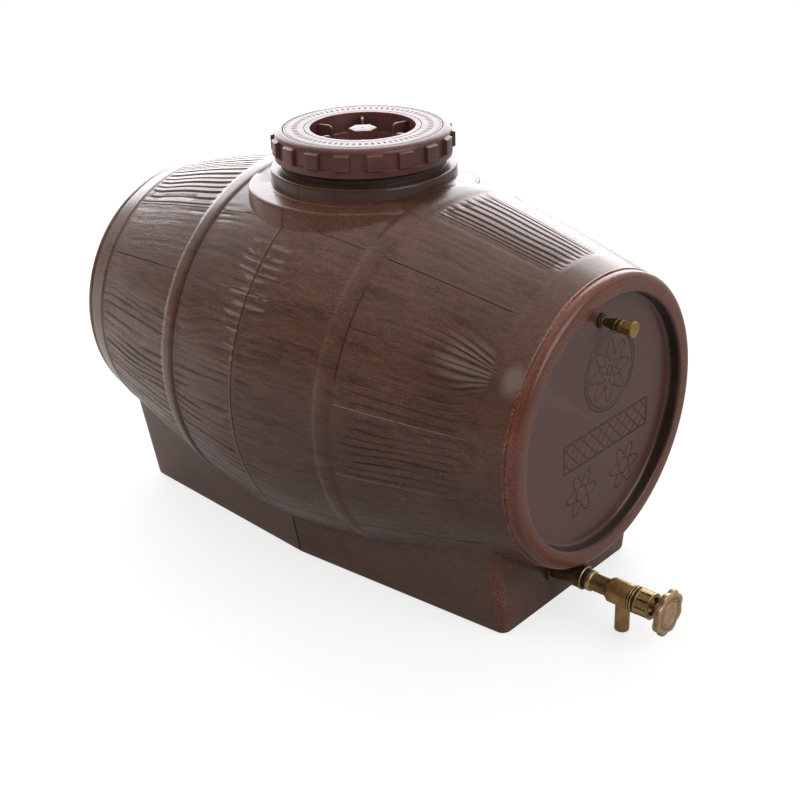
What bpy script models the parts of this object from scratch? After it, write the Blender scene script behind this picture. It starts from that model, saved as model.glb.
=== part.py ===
"""A moulded plastic wine barrel with a screw lid, an air vent and a brass tap.

Lengths are metres. The barrel's axis runs along X with the tap at +X, +Z is up, and the origin is the
middle of the foot's flat bottom. An outline is a list of (radius, height) points that is turned about
its height axis, and it runs down the outer side.
"""

import math

import bmesh
import bpy
from mathutils import Matrix

# Fits shared by all pieces
FIT_GAP = 0.0003
OVERRUN = 0.004
EDGE_ROUND = 0.0006
MERGE_DISTANCE = 0.00002

# Barrel
WALL = 0.0045
BELLY_RADIUS = 0.2005
BELLY_CLEARANCE = 0.0005
BULGE_POWER = 1.5
STAVE_COUNT = 16
STAVE_END_X = 0.2620
STAVE_END_RADIUS = 0.1525
STAVE_GAP_DEPTH = 0.0016
STAVE_GAP_WIDTH = 0.0020
SEAM_RIDGE_HEIGHT = 0.0008
SEAM_RIDGE_HALF_WIDTH = 0.0016
HOOP_X = 0.1090
HOOP_WIDTH = 0.0190
HOOP_HEIGHT = 0.0033
BAND_LENGTH = 0.0265
BAND_STEP = 0.0010
BAND_OVER_RIM = 0.0012
RIM_WIDTH = 0.0197
RIM_GROOVE_DEPTH = 0.0012
RIM_GROOVE_WIDTH = 0.0020
RIM_FLAT_LENGTH = 0.0030
RIM_NOSE_LENGTH = 0.0070
RIM_NOSE_ROUND = 0.0075
RIM_MOUTH_RADIUS = 0.1253
RIM_MOUTH_ROUND = 0.0035
HEAD_RECESS = 0.0131
HEAD_FILLET = 0.0040

# Foot, whose plan is widest at the mould's parting line
FOOT_HALF_LENGTH = 0.2605
FOOT_HALF_WIDTH = 0.1040
FOOT_MIDDLE_HALF_WIDTH = 0.1216
FOOT_SIDE_LEAN = 0.17
FOOT_CORNER_ROUND = 0.0100
FOOT_BOTTOM_ROUND = 0.0040
FOOT_BURIED_SHARE = 0.40

# Plinth, collar and neck
NECK_RADIUS = 0.0830
NECK_WALL = 0.0060
NECK_HEIGHT = 0.0251
COLLAR_STEP = 0.0101
COLLAR_HEIGHT = 0.0164
COLLAR_ROUND = 0.0025
PLINTH_STEP = 0.0219
PLINTH_DROP = 0.0180
PLINTH_LEAN = 0.12
PLINTH_ROUND = 0.0030

# Lid
GASKET_THICKNESS = 0.0020
LID_PLATE = 0.0035
LID_THREAD_GAP = 0.0018
RING_WALL = 0.0030
RING_HEIGHT = 0.0285
RING_LIP_REACH = 0.0052
RING_LIP_THICKNESS = 0.0046
RING_TURN_GAP = 0.0006
RING_SHOULDER = 0.0055
RING_BAND_HEIGHT = 0.0077
RING_POCKET_DEPTH = 0.0010
LUG_COUNT = 18
LUG_WIDTH = 0.0155
LUG_REACH = 0.0038
LUG_ROUND = 0.0008
DISC_FLANGE_THICKNESS = 0.0043
SKIRT_WALL = 0.0026
SKIRT_DEPTH = 0.0110
WELL_RADIUS = 0.0525
WELL_DEPTH = 0.0215
WELL_FILLET = 0.0030
BOSS_ACROSS_FLATS = 0.0248
BOSS_DROP = 0.0022
BOSS_TURN = math.radians(13.6)
RIB_COUNT = 6
RIB_THICKNESS = 0.0028
RIB_LENGTH = 0.0175
RIB_DROP = 0.0034
RIB_ROUND = 0.0050

# Vent
VENT_INSET = 0.0240
VENT_TAIL_RADIUS = 0.0034
VENT_TAIL_OVERHANG = 0.0025
VENT_BORE_RADIUS = 0.0012
VENT_WASHER_RADIUS = 0.0075
VENT_WASHER_THICKNESS = 0.0020
VENT_FOOT_RADIUS = 0.0050
VENT_FOOT_LENGTH = 0.0012
VENT_CONE_LENGTH = 0.0145
VENT_CONE_ROOT_RADIUS = 0.0038
VENT_CONE_END_RADIUS = 0.0061
VENT_STUB_RADIUS = 0.0036
VENT_STUB_LENGTH = 0.0108
VENT_SEAL_RADIUS = 0.0052
VENT_SEAL_THICKNESS = 0.0014
VENT_NUT_ACROSS_FLATS = 0.0130
VENT_NUT_HEIGHT = 0.0040
VENT_CAP_COLLAR_RADIUS = 0.0063
VENT_CAP_COLLAR_LENGTH = 0.0036
VENT_CAP_ACROSS_FLATS = 0.0112
VENT_CAP_END_ROOM = 0.0014
VENT_CAP_CEILING = 0.0024
VENT_CAP_HEAD_RADIUS = 0.0078
VENT_CAP_HEAD_LENGTH = 0.0030

# Tap: its axis is parallel to the barrel's, and its lengths run outward from the foot's front wall
TAP_Y = -0.0235
TAP_Z = 0.0415
TAP_BOSS_RADIUS = 0.0165
TAP_BOSS_HEIGHT = 0.0030
TAP_RELIEF_RADIUS = 0.0135
TAP_WASHER_THICKNESS = 0.0020
TAP_INNER_WASHER_RADIUS = 0.0135
TAP_NUT_ACROSS_FLATS = 0.0240
TAP_NUT_HEIGHT = 0.0060
SOCKET_RADIUS = 0.0115
SOCKET_LENGTH = 0.0315
SOCKET_LIP_HEIGHT = 0.0006
SOCKET_LIP_LENGTH = 0.0020
SOCKET_TAIL_RADIUS = 0.0085
SOCKET_TAIL_OVERHANG = 0.0043
SOCKET_BORE_RADIUS = 0.0058
INLET_THREAD_RADIUS = 0.0083
INLET_THREAD_LENGTH = 0.0180
INLET_SEAL_WALL = 0.0014
INLET_SEAL_LENGTH = 0.0055
INLET_COLLAR_RADIUS = 0.0102
INLET_COLLAR_LENGTH = 0.0028
INLET_TUBE_RADIUS = 0.00875
INLET_TUBE_LENGTH = 0.0165
SHOULDER_LENGTH = 0.0048
BODY_RADIUS = 0.01245
BODY_LENGTH = 0.0284
BODY_BORE_RADIUS = 0.0052
BEAD_COUNT = 2
BEAD_PITCH = 0.0024
BEAD_HEIGHT = 0.0005
CHAMBER_RADIUS = 0.0095
SEAT_INSET = 0.0034
SEAT_RADIUS = 0.0066
SEAT_HEIGHT = 0.0015
SPOUT_INSET = 0.0124
SPOUT_RADIUS = 0.00725
SPOUT_WALL = 0.0020
SPOUT_END_Z = 0.0018
VALVE_WASHER_THICKNESS = 0.0020
VALVE_WASHER_RADIUS = 0.0070
VALVE_PLATE_THICKNESS = 0.0025
VALVE_PLATE_RADIUS = 0.0078
VALVE_BOSS_WALL = 0.0013
VALVE_BOSS_LENGTH = 0.0040
BONNET_SEAL_THICKNESS = 0.0012
BONNET_SEAL_RADIUS = 0.0122
BONNET_HEAD_RADIUS = 0.0134
BONNET_HEAD_LENGTH = 0.0159
BONNET_FACETS = 10
BONNET_TAIL_LENGTH = 0.0110
BONNET_GUIDE_LENGTH = 0.0020
BONNET_RECESS_RADIUS = 0.0094
BONNET_RECESS_DEPTH = 0.0069
PACKING_POCKET_RADIUS = 0.0064
PACKING_POCKET_DEPTH = 0.0053
PACKING_THICKNESS = 0.0024
GLAND_ACROSS_FLATS = 0.0125
GLAND_HEAD_LENGTH = 0.0040
SPINDLE_RADIUS = 0.0030
SPINDLE_THREAD_RADIUS = 0.0040
SPINDLE_THREAD_LENGTH = 0.0130
SPINDLE_SQUARE = 0.0044
WHEEL_RADIUS = 0.0232
WHEEL_THICKNESS = 0.0075
WHEEL_STANDOFF = 0.0028
WHEEL_LOBES = 8
WHEEL_LOBE_DEPTH = 0.0022
WHEEL_LOBE_TURN = math.radians(-20)
WHEEL_EDGE_ROUND = 0.0016
WHEEL_HUB_RADIUS = 0.0048
WHEEL_HUB_LENGTH = 0.0080
WHEEL_WEB = 0.0010
WHEEL_CAP_RADIUS = 0.0122
WHEEL_CAP_THICKNESS = 0.0018
WHEEL_SCREW_RADIUS = 0.0012
WHEEL_SCREW_LENGTH = 0.0060
WHEEL_SCREW_HEAD_RADIUS = 0.0028
WHEEL_SCREW_HEAD_LENGTH = 0.0014

# Facets of the round pieces
BARREL_STEPS = 40
CAVITY_STEPS = 20
LID_STEPS = 36
SMALL_STEPS = 16
TAP_STEPS = 16

# Places on the barrel, worked out from the sizes above
AXIS_HEIGHT = BELLY_RADIUS + BELLY_CLEARANCE
RIM_BACK_X = STAVE_END_X + BAND_LENGTH + RIM_GROOVE_WIDTH
RIM_SHOULDER_X = RIM_BACK_X + RIM_FLAT_LENGTH
RIM_NOSE_X = RIM_SHOULDER_X + RIM_NOSE_LENGTH
HEAD_X = RIM_NOSE_X - HEAD_RECESS
RIM_RADIUS = RIM_MOUTH_RADIUS + RIM_WIDTH
BAND_END_RADIUS = RIM_RADIUS + BAND_OVER_RIM
PLINTH_TOP = AXIS_HEIGHT + BELLY_RADIUS - PLINTH_DROP
COLLAR_TOP = PLINTH_TOP + COLLAR_HEIGHT
COLLAR_RADIUS = NECK_RADIUS + COLLAR_STEP
PLINTH_RADIUS = COLLAR_RADIUS + PLINTH_STEP
NECK_TOP = COLLAR_TOP + NECK_HEIGHT
NECK_BORE_RADIUS = NECK_RADIUS - NECK_WALL

# Places in the lid
DISC_FLANGE_BOTTOM = NECK_TOP + GASKET_THICKNESS + 2 * FIT_GAP
DISC_FLANGE_TOP = DISC_FLANGE_BOTTOM + DISC_FLANGE_THICKNESS
LID_TOP = DISC_FLANGE_TOP + FIT_GAP + RING_LIP_THICKNESS
RING_INNER_RADIUS = NECK_RADIUS + LID_THREAD_GAP
RING_OUTER_RADIUS = RING_INNER_RADIUS + RING_WALL
RING_LIP_RADIUS = RING_INNER_RADIUS - RING_LIP_REACH
RING_BOTTOM = LID_TOP - RING_HEIGHT

# Places along the vent
VENT_Z = AXIS_HEIGHT + RIM_MOUTH_RADIUS - VENT_INSET
VENT_FOOT_X = HEAD_X + VENT_WASHER_THICKNESS + 2 * FIT_GAP
VENT_CONE_X = VENT_FOOT_X + VENT_FOOT_LENGTH
VENT_STUB_X = VENT_CONE_X + VENT_CONE_LENGTH
VENT_STUB_END_X = VENT_STUB_X + VENT_STUB_LENGTH

# Places along the tap
TAP_BOSS_X = FOOT_HALF_LENGTH + TAP_BOSS_HEIGHT
SOCKET_X = TAP_BOSS_X + TAP_WASHER_THICKNESS + 2 * FIT_GAP
SOCKET_END_X = SOCKET_X + SOCKET_LENGTH
INLET_COLLAR_X = SOCKET_END_X + INLET_SEAL_LENGTH + 2 * FIT_GAP
INLET_TUBE_X = INLET_COLLAR_X + INLET_COLLAR_LENGTH
INLET_END_X = INLET_COLLAR_X - INLET_THREAD_LENGTH
SHOULDER_X = INLET_TUBE_X + INLET_TUBE_LENGTH
BODY_X = SHOULDER_X + SHOULDER_LENGTH
BODY_END_X = BODY_X + BODY_LENGTH
SEAT_X = BODY_X + SEAT_INSET
SPOUT_X = BODY_X + SPOUT_INSET
VALVE_PLATE_X = SEAT_X + VALVE_WASHER_THICKNESS + 2 * FIT_GAP
VALVE_BOSS_X = VALVE_PLATE_X + VALVE_PLATE_THICKNESS
VALVE_BOSS_END_X = VALVE_BOSS_X + VALVE_BOSS_LENGTH
BONNET_X = BODY_END_X + BONNET_SEAL_THICKNESS + 2 * FIT_GAP
BONNET_END_X = BONNET_X + BONNET_HEAD_LENGTH
BONNET_RECESS_X = BONNET_END_X - BONNET_RECESS_DEPTH
PACKING_POCKET_X = BONNET_RECESS_X - PACKING_POCKET_DEPTH
WHEEL_HUB_X = BONNET_END_X + WHEEL_STANDOFF
WHEEL_BACK_X = WHEEL_HUB_X + WHEEL_HUB_LENGTH
WHEEL_FACE_X = WHEEL_BACK_X + WHEEL_THICKNESS
WHEEL_CAP_X = WHEEL_FACE_X - WHEEL_CAP_THICKNESS
WHEEL_SCREW_SEAT_X = WHEEL_CAP_X - WHEEL_SCREW_HEAD_LENGTH - 2 * FIT_GAP
SPINDLE_END_X = WHEEL_SCREW_SEAT_X - WHEEL_WEB - 2 * FIT_GAP

PARTS = bpy.data.collections.new("plastic_wine_barrel")
CUTTERS = bpy.data.collections.new("cutters")


# Tools


def clear_scene():
    """Remove every object and link the two collections."""
    for obj in list(bpy.data.objects):
        bpy.data.objects.remove(obj, do_unlink=True)
    for collection in (PARTS, CUTTERS):
        bpy.context.scene.collection.children.link(collection)


def plain_material(name, colour, roughness, metallic=0.0):
    """Principled material with one colour."""
    material = bpy.data.materials.new(name)
    material.use_nodes = True
    shader = material.node_tree.nodes["Principled BSDF"]
    shader.inputs["Base Color"].default_value = (*colour, 1.0)
    shader.inputs["Roughness"].default_value = roughness
    shader.inputs["Metallic"].default_value = metallic
    return material


def add_object(name, mesh, material=None, location=(0, 0, 0), along_x=False):
    """Object in the parts' collection, or a hidden wire cutter when it has no material."""
    obj = bpy.data.objects.new(name, mesh)
    obj.location = location
    if along_x:
        obj.rotation_euler = (0, math.pi / 2, 0)
    if material:
        mesh.materials.append(material)
        PARTS.objects.link(obj)
    else:
        CUTTERS.objects.link(obj)
        obj.hide_render = True
        obj.display_type = "WIRE"
    return obj


def turned(name, outline, steps, material=None, location=(0, 0, 0), along_x=False):
    """Solid turned from an outline: open where it ends on the axis, closed where it is a ring."""
    closed = outline[0][0] > 0
    mesh = bpy.data.meshes.new(name)
    edges = [(i, i + 1) for i in range(len(outline) - 1)]
    if closed:
        edges.append((len(outline) - 1, 0))
    mesh.from_pydata([(radius, 0, height) for radius, height in outline], edges, [])
    obj = add_object(name, mesh, material, location, along_x)
    screw = obj.modifiers.new("turn", "SCREW")
    screw.steps = steps
    screw.render_steps = steps
    screw.use_merge_vertices = True
    screw.merge_threshold = MERGE_DISTANCE
    return obj


def mesh_object(name, build, material=None, location=(0, 0, 0), along_x=False):
    """Object whose mesh a bmesh function fills in."""
    bm = bmesh.new()
    build(bm)
    mesh = bpy.data.meshes.new(name)
    bm.to_mesh(mesh)
    bm.free()
    return add_object(name, mesh, material, location, along_x)


def combine(obj, other, operation):
    """Boolean of obj with another object, left live on obj."""
    boolean = obj.modifiers.new(other.name, "BOOLEAN")
    boolean.operation = operation
    boolean.object = other


def arc(radius, height, semi_radius, semi_height, start, end, segments):
    """Points of an elliptic arc in an outline, between two angles in degrees."""
    points = []
    for i in range(segments + 1):
        angle = math.radians(start + (end - start) * i / segments)
        points.append((radius + semi_radius * math.cos(angle), height + semi_height * math.sin(angle)))
    return points


def ring(inner, outer, low, high):
    """Outline of a flat ring."""
    return [(inner, high), (outer, high), (outer, low), (inner, low)]


def rod(radius, low, high):
    """Outline of a plain cylinder."""
    return [(0, high), (radius, high), (radius, low), (0, low)]


def round_rod(radius, low, high):
    """Outline of a cylinder with a small chamfer at its high end."""
    chamfer = min(EDGE_ROUND, radius / 2)
    return [(0, high), (radius - chamfer, high), (radius, high - chamfer), (radius, low), (0, low)]


def add_prism(bm, sides, circumradius, low, high, turn=0.0):
    """Upright prism with regular sides."""
    place = Matrix.Translation((0, 0, (low + high) / 2)) @ Matrix.Rotation(turn, 4, "Z")
    bmesh.ops.create_cone(bm, cap_ends=True, segments=sides, radius1=circumradius, radius2=circumradius,
                          depth=high - low, matrix=place)


def circumradius(across_flats, sides=6):
    """Corner radius of a regular prism from its width across flats."""
    return across_flats / 2 / math.cos(math.pi / sides)


def hexagon_nut(name, across_flats, bore, low, high, material, location):
    """Hexagonal nut along X with its corners turned down, and a plain bore."""
    corner = circumradius(across_flats)
    flat = across_flats / 2
    nut = mesh_object(name, lambda bm: add_prism(bm, 6, corner, low, high), material, location, along_x=True)
    slope_end = high - (corner - flat + OVERRUN) / 2
    crown = [(0, high + OVERRUN), (flat, high + OVERRUN), (flat, high), (corner + OVERRUN, slope_end),
             (corner + OVERRUN, low - OVERRUN), (0, low - OVERRUN)]
    turning = turned(name + "_turning", crown, SMALL_STEPS, location=location, along_x=True)
    drill = turned(name + "_drill", rod(bore, low - OVERRUN, high + OVERRUN), SMALL_STEPS, location=location,
                   along_x=True)
    combine(nut, turning, "INTERSECT")
    combine(nut, drill, "DIFFERENCE")
    return nut


# Barrel shell


def stave_radius(x):
    """Radius of the staves' surface at a distance from the middle."""
    drop = BELLY_RADIUS - STAVE_END_RADIUS
    return BELLY_RADIUS - drop * (abs(x) / STAVE_END_X) ** BULGE_POWER


def stave_points(start, end, segments, depth=0.0):
    """Points along the staves, from one place to another, under the surface by a depth."""
    places = [start + (end - start) * i / segments for i in range(segments + 1)]
    return [(stave_radius(x) - depth, x) for x in places]


def hoop_points(segments):
    """A middle hoop: a half-round swelling on the staves, from its far edge to its near edge."""
    points = []
    for i in range(segments + 1):
        angle = math.pi * i / segments
        x = HOOP_X + HOOP_WIDTH / 2 * math.cos(angle)
        points.append((stave_radius(x) + HOOP_HEIGHT * math.sin(angle), x))
    return points


def mirrored(half):
    """Whole outline from its front half, which ends at the middle."""
    return half + [(radius, -x) for radius, x in reversed(half) if x > 0]


def barrel_outline():
    """Outside of the barrel from the middle of the front head to the middle of the rear head."""
    hoop_edge = HOOP_WIDTH / 2
    half = [(0, HEAD_X)]
    half += arc(RIM_MOUTH_RADIUS - HEAD_FILLET, HEAD_X + HEAD_FILLET, HEAD_FILLET, HEAD_FILLET, -90, 0, 2)
    half += arc(RIM_MOUTH_RADIUS + RIM_MOUTH_ROUND, RIM_NOSE_X - RIM_MOUTH_ROUND, RIM_MOUTH_ROUND,
                RIM_MOUTH_ROUND, 180, 90, 2)
    half += arc(RIM_RADIUS - RIM_NOSE_ROUND, RIM_SHOULDER_X, RIM_NOSE_ROUND, RIM_NOSE_LENGTH, 90, 0, 3)
    half.append((RIM_RADIUS, RIM_BACK_X))
    half.append((RIM_RADIUS - RIM_GROOVE_DEPTH, RIM_BACK_X - RIM_GROOVE_WIDTH / 2))
    half.append((BAND_END_RADIUS, RIM_BACK_X - RIM_GROOVE_WIDTH))
    half.append((STAVE_END_RADIUS + BAND_STEP, STAVE_END_X + BAND_STEP))
    half += stave_points(STAVE_END_X, HOOP_X + hoop_edge, 3)[:-1]
    half += hoop_points(4)
    half += stave_points(HOOP_X - hoop_edge, SEAM_RIDGE_HALF_WIDTH, 2)[1:]
    half.append((BELLY_RADIUS + SEAM_RIDGE_HEIGHT, 0))
    return mirrored(half)


def cavity_outline():
    """Inside of the barrel, one wall under its outside, with the rims hollow too."""
    channel_end = RIM_NOSE_X - WALL
    channel_radius = RIM_MOUTH_RADIUS + WALL
    half = [(0, HEAD_X - WALL), (channel_radius, HEAD_X - WALL), (channel_radius, channel_end),
            (RIM_RADIUS - RIM_NOSE_ROUND, channel_end), (RIM_RADIUS - WALL - RIM_GROOVE_DEPTH, RIM_BACK_X),
            (RIM_RADIUS - WALL - RIM_GROOVE_DEPTH, RIM_BACK_X - RIM_GROOVE_WIDTH)]
    half += stave_points(STAVE_END_X, 0, 4, WALL)
    return mirrored(half)


def add_foot_block(bm, inset, low):
    """Drafted block with a six-cornered plan, smaller all round by an inset."""
    half_length = FOOT_HALF_LENGTH - inset
    high = AXIS_HEIGHT - STAVE_END_RADIUS * FOOT_BURIED_SHARE
    bmesh.ops.create_cube(bm, size=1)
    bmesh.ops.bisect_plane(bm, geom=bm.verts[:] + bm.edges[:] + bm.faces[:], plane_co=(0, 0, 0),
                           plane_no=(1, 0, 0))
    for vert in bm.verts:
        side = math.copysign(1, vert.co.y)
        end = abs(vert.co.x) * 2
        vert.co.x = math.copysign(half_length * end, vert.co.x)
        vert.co.z = high if vert.co.z > 0 else low
        middle = FOOT_MIDDLE_HALF_WIDTH - inset
        width = middle + (FOOT_HALF_WIDTH - FOOT_MIDDLE_HALF_WIDTH) * end + FOOT_SIDE_LEAN * vert.co.z
        vert.co.y = side * width
    corners = [e for e in bm.edges if abs(e.verts[0].co.z - e.verts[1].co.z) > inset + WALL
               and abs(e.verts[0].co.x) > half_length / 2]
    round_off = max(FOOT_CORNER_ROUND - inset, EDGE_ROUND)
    bmesh.ops.bevel(bm, geom=corners, offset=round_off, segments=3, profile=0.5, affect="EDGES")
    rim = [e for e in bm.edges if all(v.co.z < low + EDGE_ROUND for v in e.verts) and len(e.link_faces) == 2
           and any(f.normal.z > -0.5 for f in e.link_faces)]
    bmesh.ops.bevel(bm, geom=rim, offset=FOOT_BOTTOM_ROUND, segments=2, profile=0.5, affect="EDGES")


def neck_outline():
    """Plinth, collar and neck as one turned solid that reaches down into the barrel."""
    buried = AXIS_HEIGHT + BELLY_RADIUS / 2
    plinth_foot = PLINTH_RADIUS + (PLINTH_TOP - buried) * PLINTH_LEAN
    outline = [(0, NECK_TOP), (NECK_RADIUS - EDGE_ROUND, NECK_TOP), (NECK_RADIUS, NECK_TOP - EDGE_ROUND),
               (NECK_RADIUS, COLLAR_TOP)]
    outline += arc(COLLAR_RADIUS - COLLAR_ROUND, COLLAR_TOP - COLLAR_ROUND, COLLAR_ROUND, COLLAR_ROUND,
                   90, 0, 2)
    outline.append((COLLAR_RADIUS, PLINTH_TOP))
    outline += arc(PLINTH_RADIUS - PLINTH_ROUND, PLINTH_TOP - PLINTH_ROUND, PLINTH_ROUND, PLINTH_ROUND,
                   90, 0, 2)
    outline += [(plinth_foot, buried), (0, buried)]
    return outline


def add_stave_gaps(bm):
    """Cutters between the staves, on both sides of each hoop: strips spun through a small angle."""
    hoop_edge = HOOP_WIDTH / 2 + EDGE_ROUND
    reach = SEAM_RIDGE_HALF_WIDTH + STAVE_GAP_WIDTH
    spans = [(HOOP_X + hoop_edge, STAVE_END_X - STAVE_GAP_WIDTH), (reach, HOOP_X - hoop_edge)]
    spans += [(-high, -low) for low, high in spans]
    width = STAVE_GAP_WIDTH / BELLY_RADIUS
    for number in range(STAVE_COUNT):
        middle = 2 * math.pi * (number + 0.5) / STAVE_COUNT
        for low, high in spans:
            inner = stave_points(low, high, 2, STAVE_GAP_DEPTH)
            strip = inner + [(stave_radius(x) + OVERRUN, x) for x in (high, low)]
            start = Matrix.Rotation(middle - width / 2, 4, "X")
            verts = [bm.verts.new(start @ Matrix.Translation((x, 0, radius)).to_translation())
                     for radius, x in strip]
            face = bm.faces.new(verts)
            bmesh.ops.spin(bm, geom=[face], cent=(0, 0, 0), axis=(1, 0, 0), dvec=(0, 0, 0), angle=width,
                           steps=1, use_duplicate=False)
    bmesh.ops.recalc_face_normals(bm, faces=bm.faces)


def make_barrel_shell(plastic):
    """One hollow moulding: barrel, foot, plinth, collar and neck, with holes for the vent and the tap."""
    axis = (0, 0, AXIS_HEIGHT)
    shell = turned("barrel_shell", barrel_outline(), BARREL_STEPS, plastic, axis, along_x=True)
    gaps = mesh_object("stave_gaps", add_stave_gaps, location=axis)
    foot = mesh_object("foot_block", lambda bm: add_foot_block(bm, 0, 0))
    neck = turned("neck_block", neck_outline(), LID_STEPS)
    tap_axis = (0, TAP_Y, TAP_Z)
    in_wall = FOOT_HALF_LENGTH - WALL / 3
    boss = turned("tap_boss", rod(TAP_BOSS_RADIUS, in_wall, TAP_BOSS_X + EDGE_ROUND), TAP_STEPS,
                  location=tap_axis, along_x=True)
    combine(shell, gaps, "DIFFERENCE")
    combine(shell, foot, "UNION")
    combine(shell, neck, "UNION")
    combine(shell, boss, "UNION")

    cavity = turned("cavity", cavity_outline(), CAVITY_STEPS, location=axis, along_x=True)
    inner_foot = mesh_object("inner_foot", lambda bm: add_foot_block(bm, WALL, WALL))
    bore = turned("neck_bore", rod(NECK_BORE_RADIUS, AXIS_HEIGHT, NECK_TOP + OVERRUN), LID_STEPS)
    backing = turned("tap_backing", rod(TAP_RELIEF_RADIUS + WALL, FOOT_HALF_LENGTH - WALL / 2, RIM_NOSE_X),
                     TAP_STEPS, location=tap_axis, along_x=True)
    combine(cavity, inner_foot, "UNION")
    combine(cavity, bore, "UNION")
    combine(cavity, backing, "DIFFERENCE")
    combine(shell, cavity, "DIFFERENCE")

    hole = SOCKET_TAIL_RADIUS + FIT_GAP
    hole_low = FOOT_HALF_LENGTH - WALL - OVERRUN
    relief = [(0, RIM_NOSE_X + OVERRUN), (TAP_RELIEF_RADIUS, RIM_NOSE_X + OVERRUN),
              (TAP_RELIEF_RADIUS, TAP_BOSS_X), (hole, TAP_BOSS_X), (hole, hole_low), (0, hole_low)]
    tap_relief = turned("tap_relief", relief, TAP_STEPS, location=tap_axis, along_x=True)
    through_head = rod(VENT_TAIL_RADIUS + FIT_GAP, HEAD_X - WALL - OVERRUN, HEAD_X + OVERRUN)
    vent_hole = turned("vent_hole", through_head, SMALL_STEPS, location=(0, 0, VENT_Z), along_x=True)
    combine(shell, tap_relief, "DIFFERENCE")
    combine(shell, vent_hole, "DIFFERENCE")


# Lid


def make_lid_ring_nut(plastic):
    """Screw ring with a top lip, a shoulder, grip pockets and lugs."""
    lip_bottom = LID_TOP - RING_LIP_THICKNESS
    shoulder_end = LID_TOP - RING_SHOULDER
    band_top = RING_BOTTOM + RING_BAND_HEIGHT
    pocket = RING_OUTER_RADIUS - RING_POCKET_DEPTH
    outline = [(RING_LIP_RADIUS, LID_TOP)]
    outline += arc(RING_OUTER_RADIUS - RING_SHOULDER, shoulder_end, RING_SHOULDER, RING_SHOULDER, 90, 0, 3)
    outline += [(pocket, shoulder_end - RING_POCKET_DEPTH), (pocket, band_top + RING_POCKET_DEPTH),
                (RING_OUTER_RADIUS, band_top), (RING_OUTER_RADIUS, RING_BOTTOM + EDGE_ROUND),
                (RING_OUTER_RADIUS - EDGE_ROUND, RING_BOTTOM), (RING_INNER_RADIUS, RING_BOTTOM),
                (RING_INNER_RADIUS, lip_bottom), (RING_LIP_RADIUS, lip_bottom)]
    nut = turned("lid_ring_nut", outline, LID_STEPS, plastic)

    def add_lugs(bm):
        low = band_top - EDGE_ROUND
        high = shoulder_end + EDGE_ROUND
        near = RING_INNER_RADIUS + RING_WALL / 3
        far = RING_OUTER_RADIUS + LUG_REACH
        for number in range(LUG_COUNT):
            place = (Matrix.Rotation(2 * math.pi * number / LUG_COUNT, 4, "Z")
                     @ Matrix.Translation(((near + far) / 2, 0, (low + high) / 2))
                     @ Matrix.Diagonal((far - near, LUG_WIDTH, high - low, 1)))
            bmesh.ops.create_cube(bm, size=1, matrix=place)
        crowns = [e for e in bm.edges if all(v.co.xy.length > RING_OUTER_RADIUS and v.co.z > (low + high) / 2
                                             for v in e.verts)]
        bmesh.ops.bevel(bm, geom=crowns, offset=LUG_ROUND, segments=1, profile=0.5, affect="EDGES")

    combine(nut, mesh_object("lugs", add_lugs), "UNION")


def make_lid_disc(plastic):
    """Middle of the lid: annulus, flange, skirt, and a well with ribs and a hexagonal boss."""
    disc_radius = RING_LIP_RADIUS - RING_TURN_GAP
    flange_radius = NECK_RADIUS + LID_THREAD_GAP / 2
    skirt_radius = NECK_BORE_RADIUS - FIT_GAP
    skirt_end = NECK_TOP - SKIRT_DEPTH
    plate_bottom = LID_TOP - LID_PLATE
    floor_top = LID_TOP - WELL_DEPTH
    floor_bottom = floor_top - LID_PLATE
    outline = [(0, floor_top)]
    outline += arc(WELL_RADIUS - WELL_FILLET, floor_top + WELL_FILLET, WELL_FILLET, WELL_FILLET, -90, 0, 2)
    outline += [(WELL_RADIUS, LID_TOP - EDGE_ROUND), (WELL_RADIUS + EDGE_ROUND, LID_TOP),
                (disc_radius, LID_TOP), (disc_radius, DISC_FLANGE_TOP), (flange_radius, DISC_FLANGE_TOP),
                (flange_radius, DISC_FLANGE_BOTTOM), (skirt_radius, DISC_FLANGE_BOTTOM),
                (skirt_radius, skirt_end), (skirt_radius - SKIRT_WALL, skirt_end),
                (skirt_radius - SKIRT_WALL, plate_bottom), (WELL_RADIUS + LID_PLATE, plate_bottom),
                (WELL_RADIUS + LID_PLATE, floor_bottom), (0, floor_bottom)]
    disc = turned("lid_disc", outline, LID_STEPS, plastic)
    buried = floor_top - LID_PLATE / 2

    def add_ribs(bm):
        top = LID_TOP - RIB_DROP
        outer = WELL_RADIUS + LID_PLATE / 2
        inner = WELL_RADIUS - RIB_LENGTH
        for number in range(RIB_COUNT):
            turn = BOSS_TURN + 2 * math.pi * number / RIB_COUNT
            place = (Matrix.Rotation(turn, 4, "Z")
                     @ Matrix.Translation(((inner + outer) / 2, 0, (buried + top) / 2))
                     @ Matrix.Diagonal((outer - inner, RIB_THICKNESS, top - buried, 1)))
            bmesh.ops.create_cube(bm, size=1, matrix=place)
        noses = [e for e in bm.edges if all(v.co.z > top - EDGE_ROUND and v.co.xy.length < WELL_RADIUS
                                            for v in e.verts)]
        bmesh.ops.bevel(bm, geom=noses, offset=RIB_ROUND, segments=2, profile=0.5, affect="EDGES")

    boss_corner = circumradius(BOSS_ACROSS_FLATS)
    boss = mesh_object("hexagon_boss",
                       lambda bm: add_prism(bm, 6, boss_corner, buried, LID_TOP - BOSS_DROP, BOSS_TURN))
    combine(disc, mesh_object("ribs", add_ribs), "UNION")
    combine(disc, boss, "UNION")


def make_lid_gasket(rubber):
    """Flat ring on the neck's lip."""
    low = NECK_TOP + FIT_GAP
    outline = ring(NECK_BORE_RADIUS + FIT_GAP, NECK_RADIUS - FIT_GAP, low, low + GASKET_THICKNESS)
    turned("lid_gasket", outline, LID_STEPS, rubber)


# Vent


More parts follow.
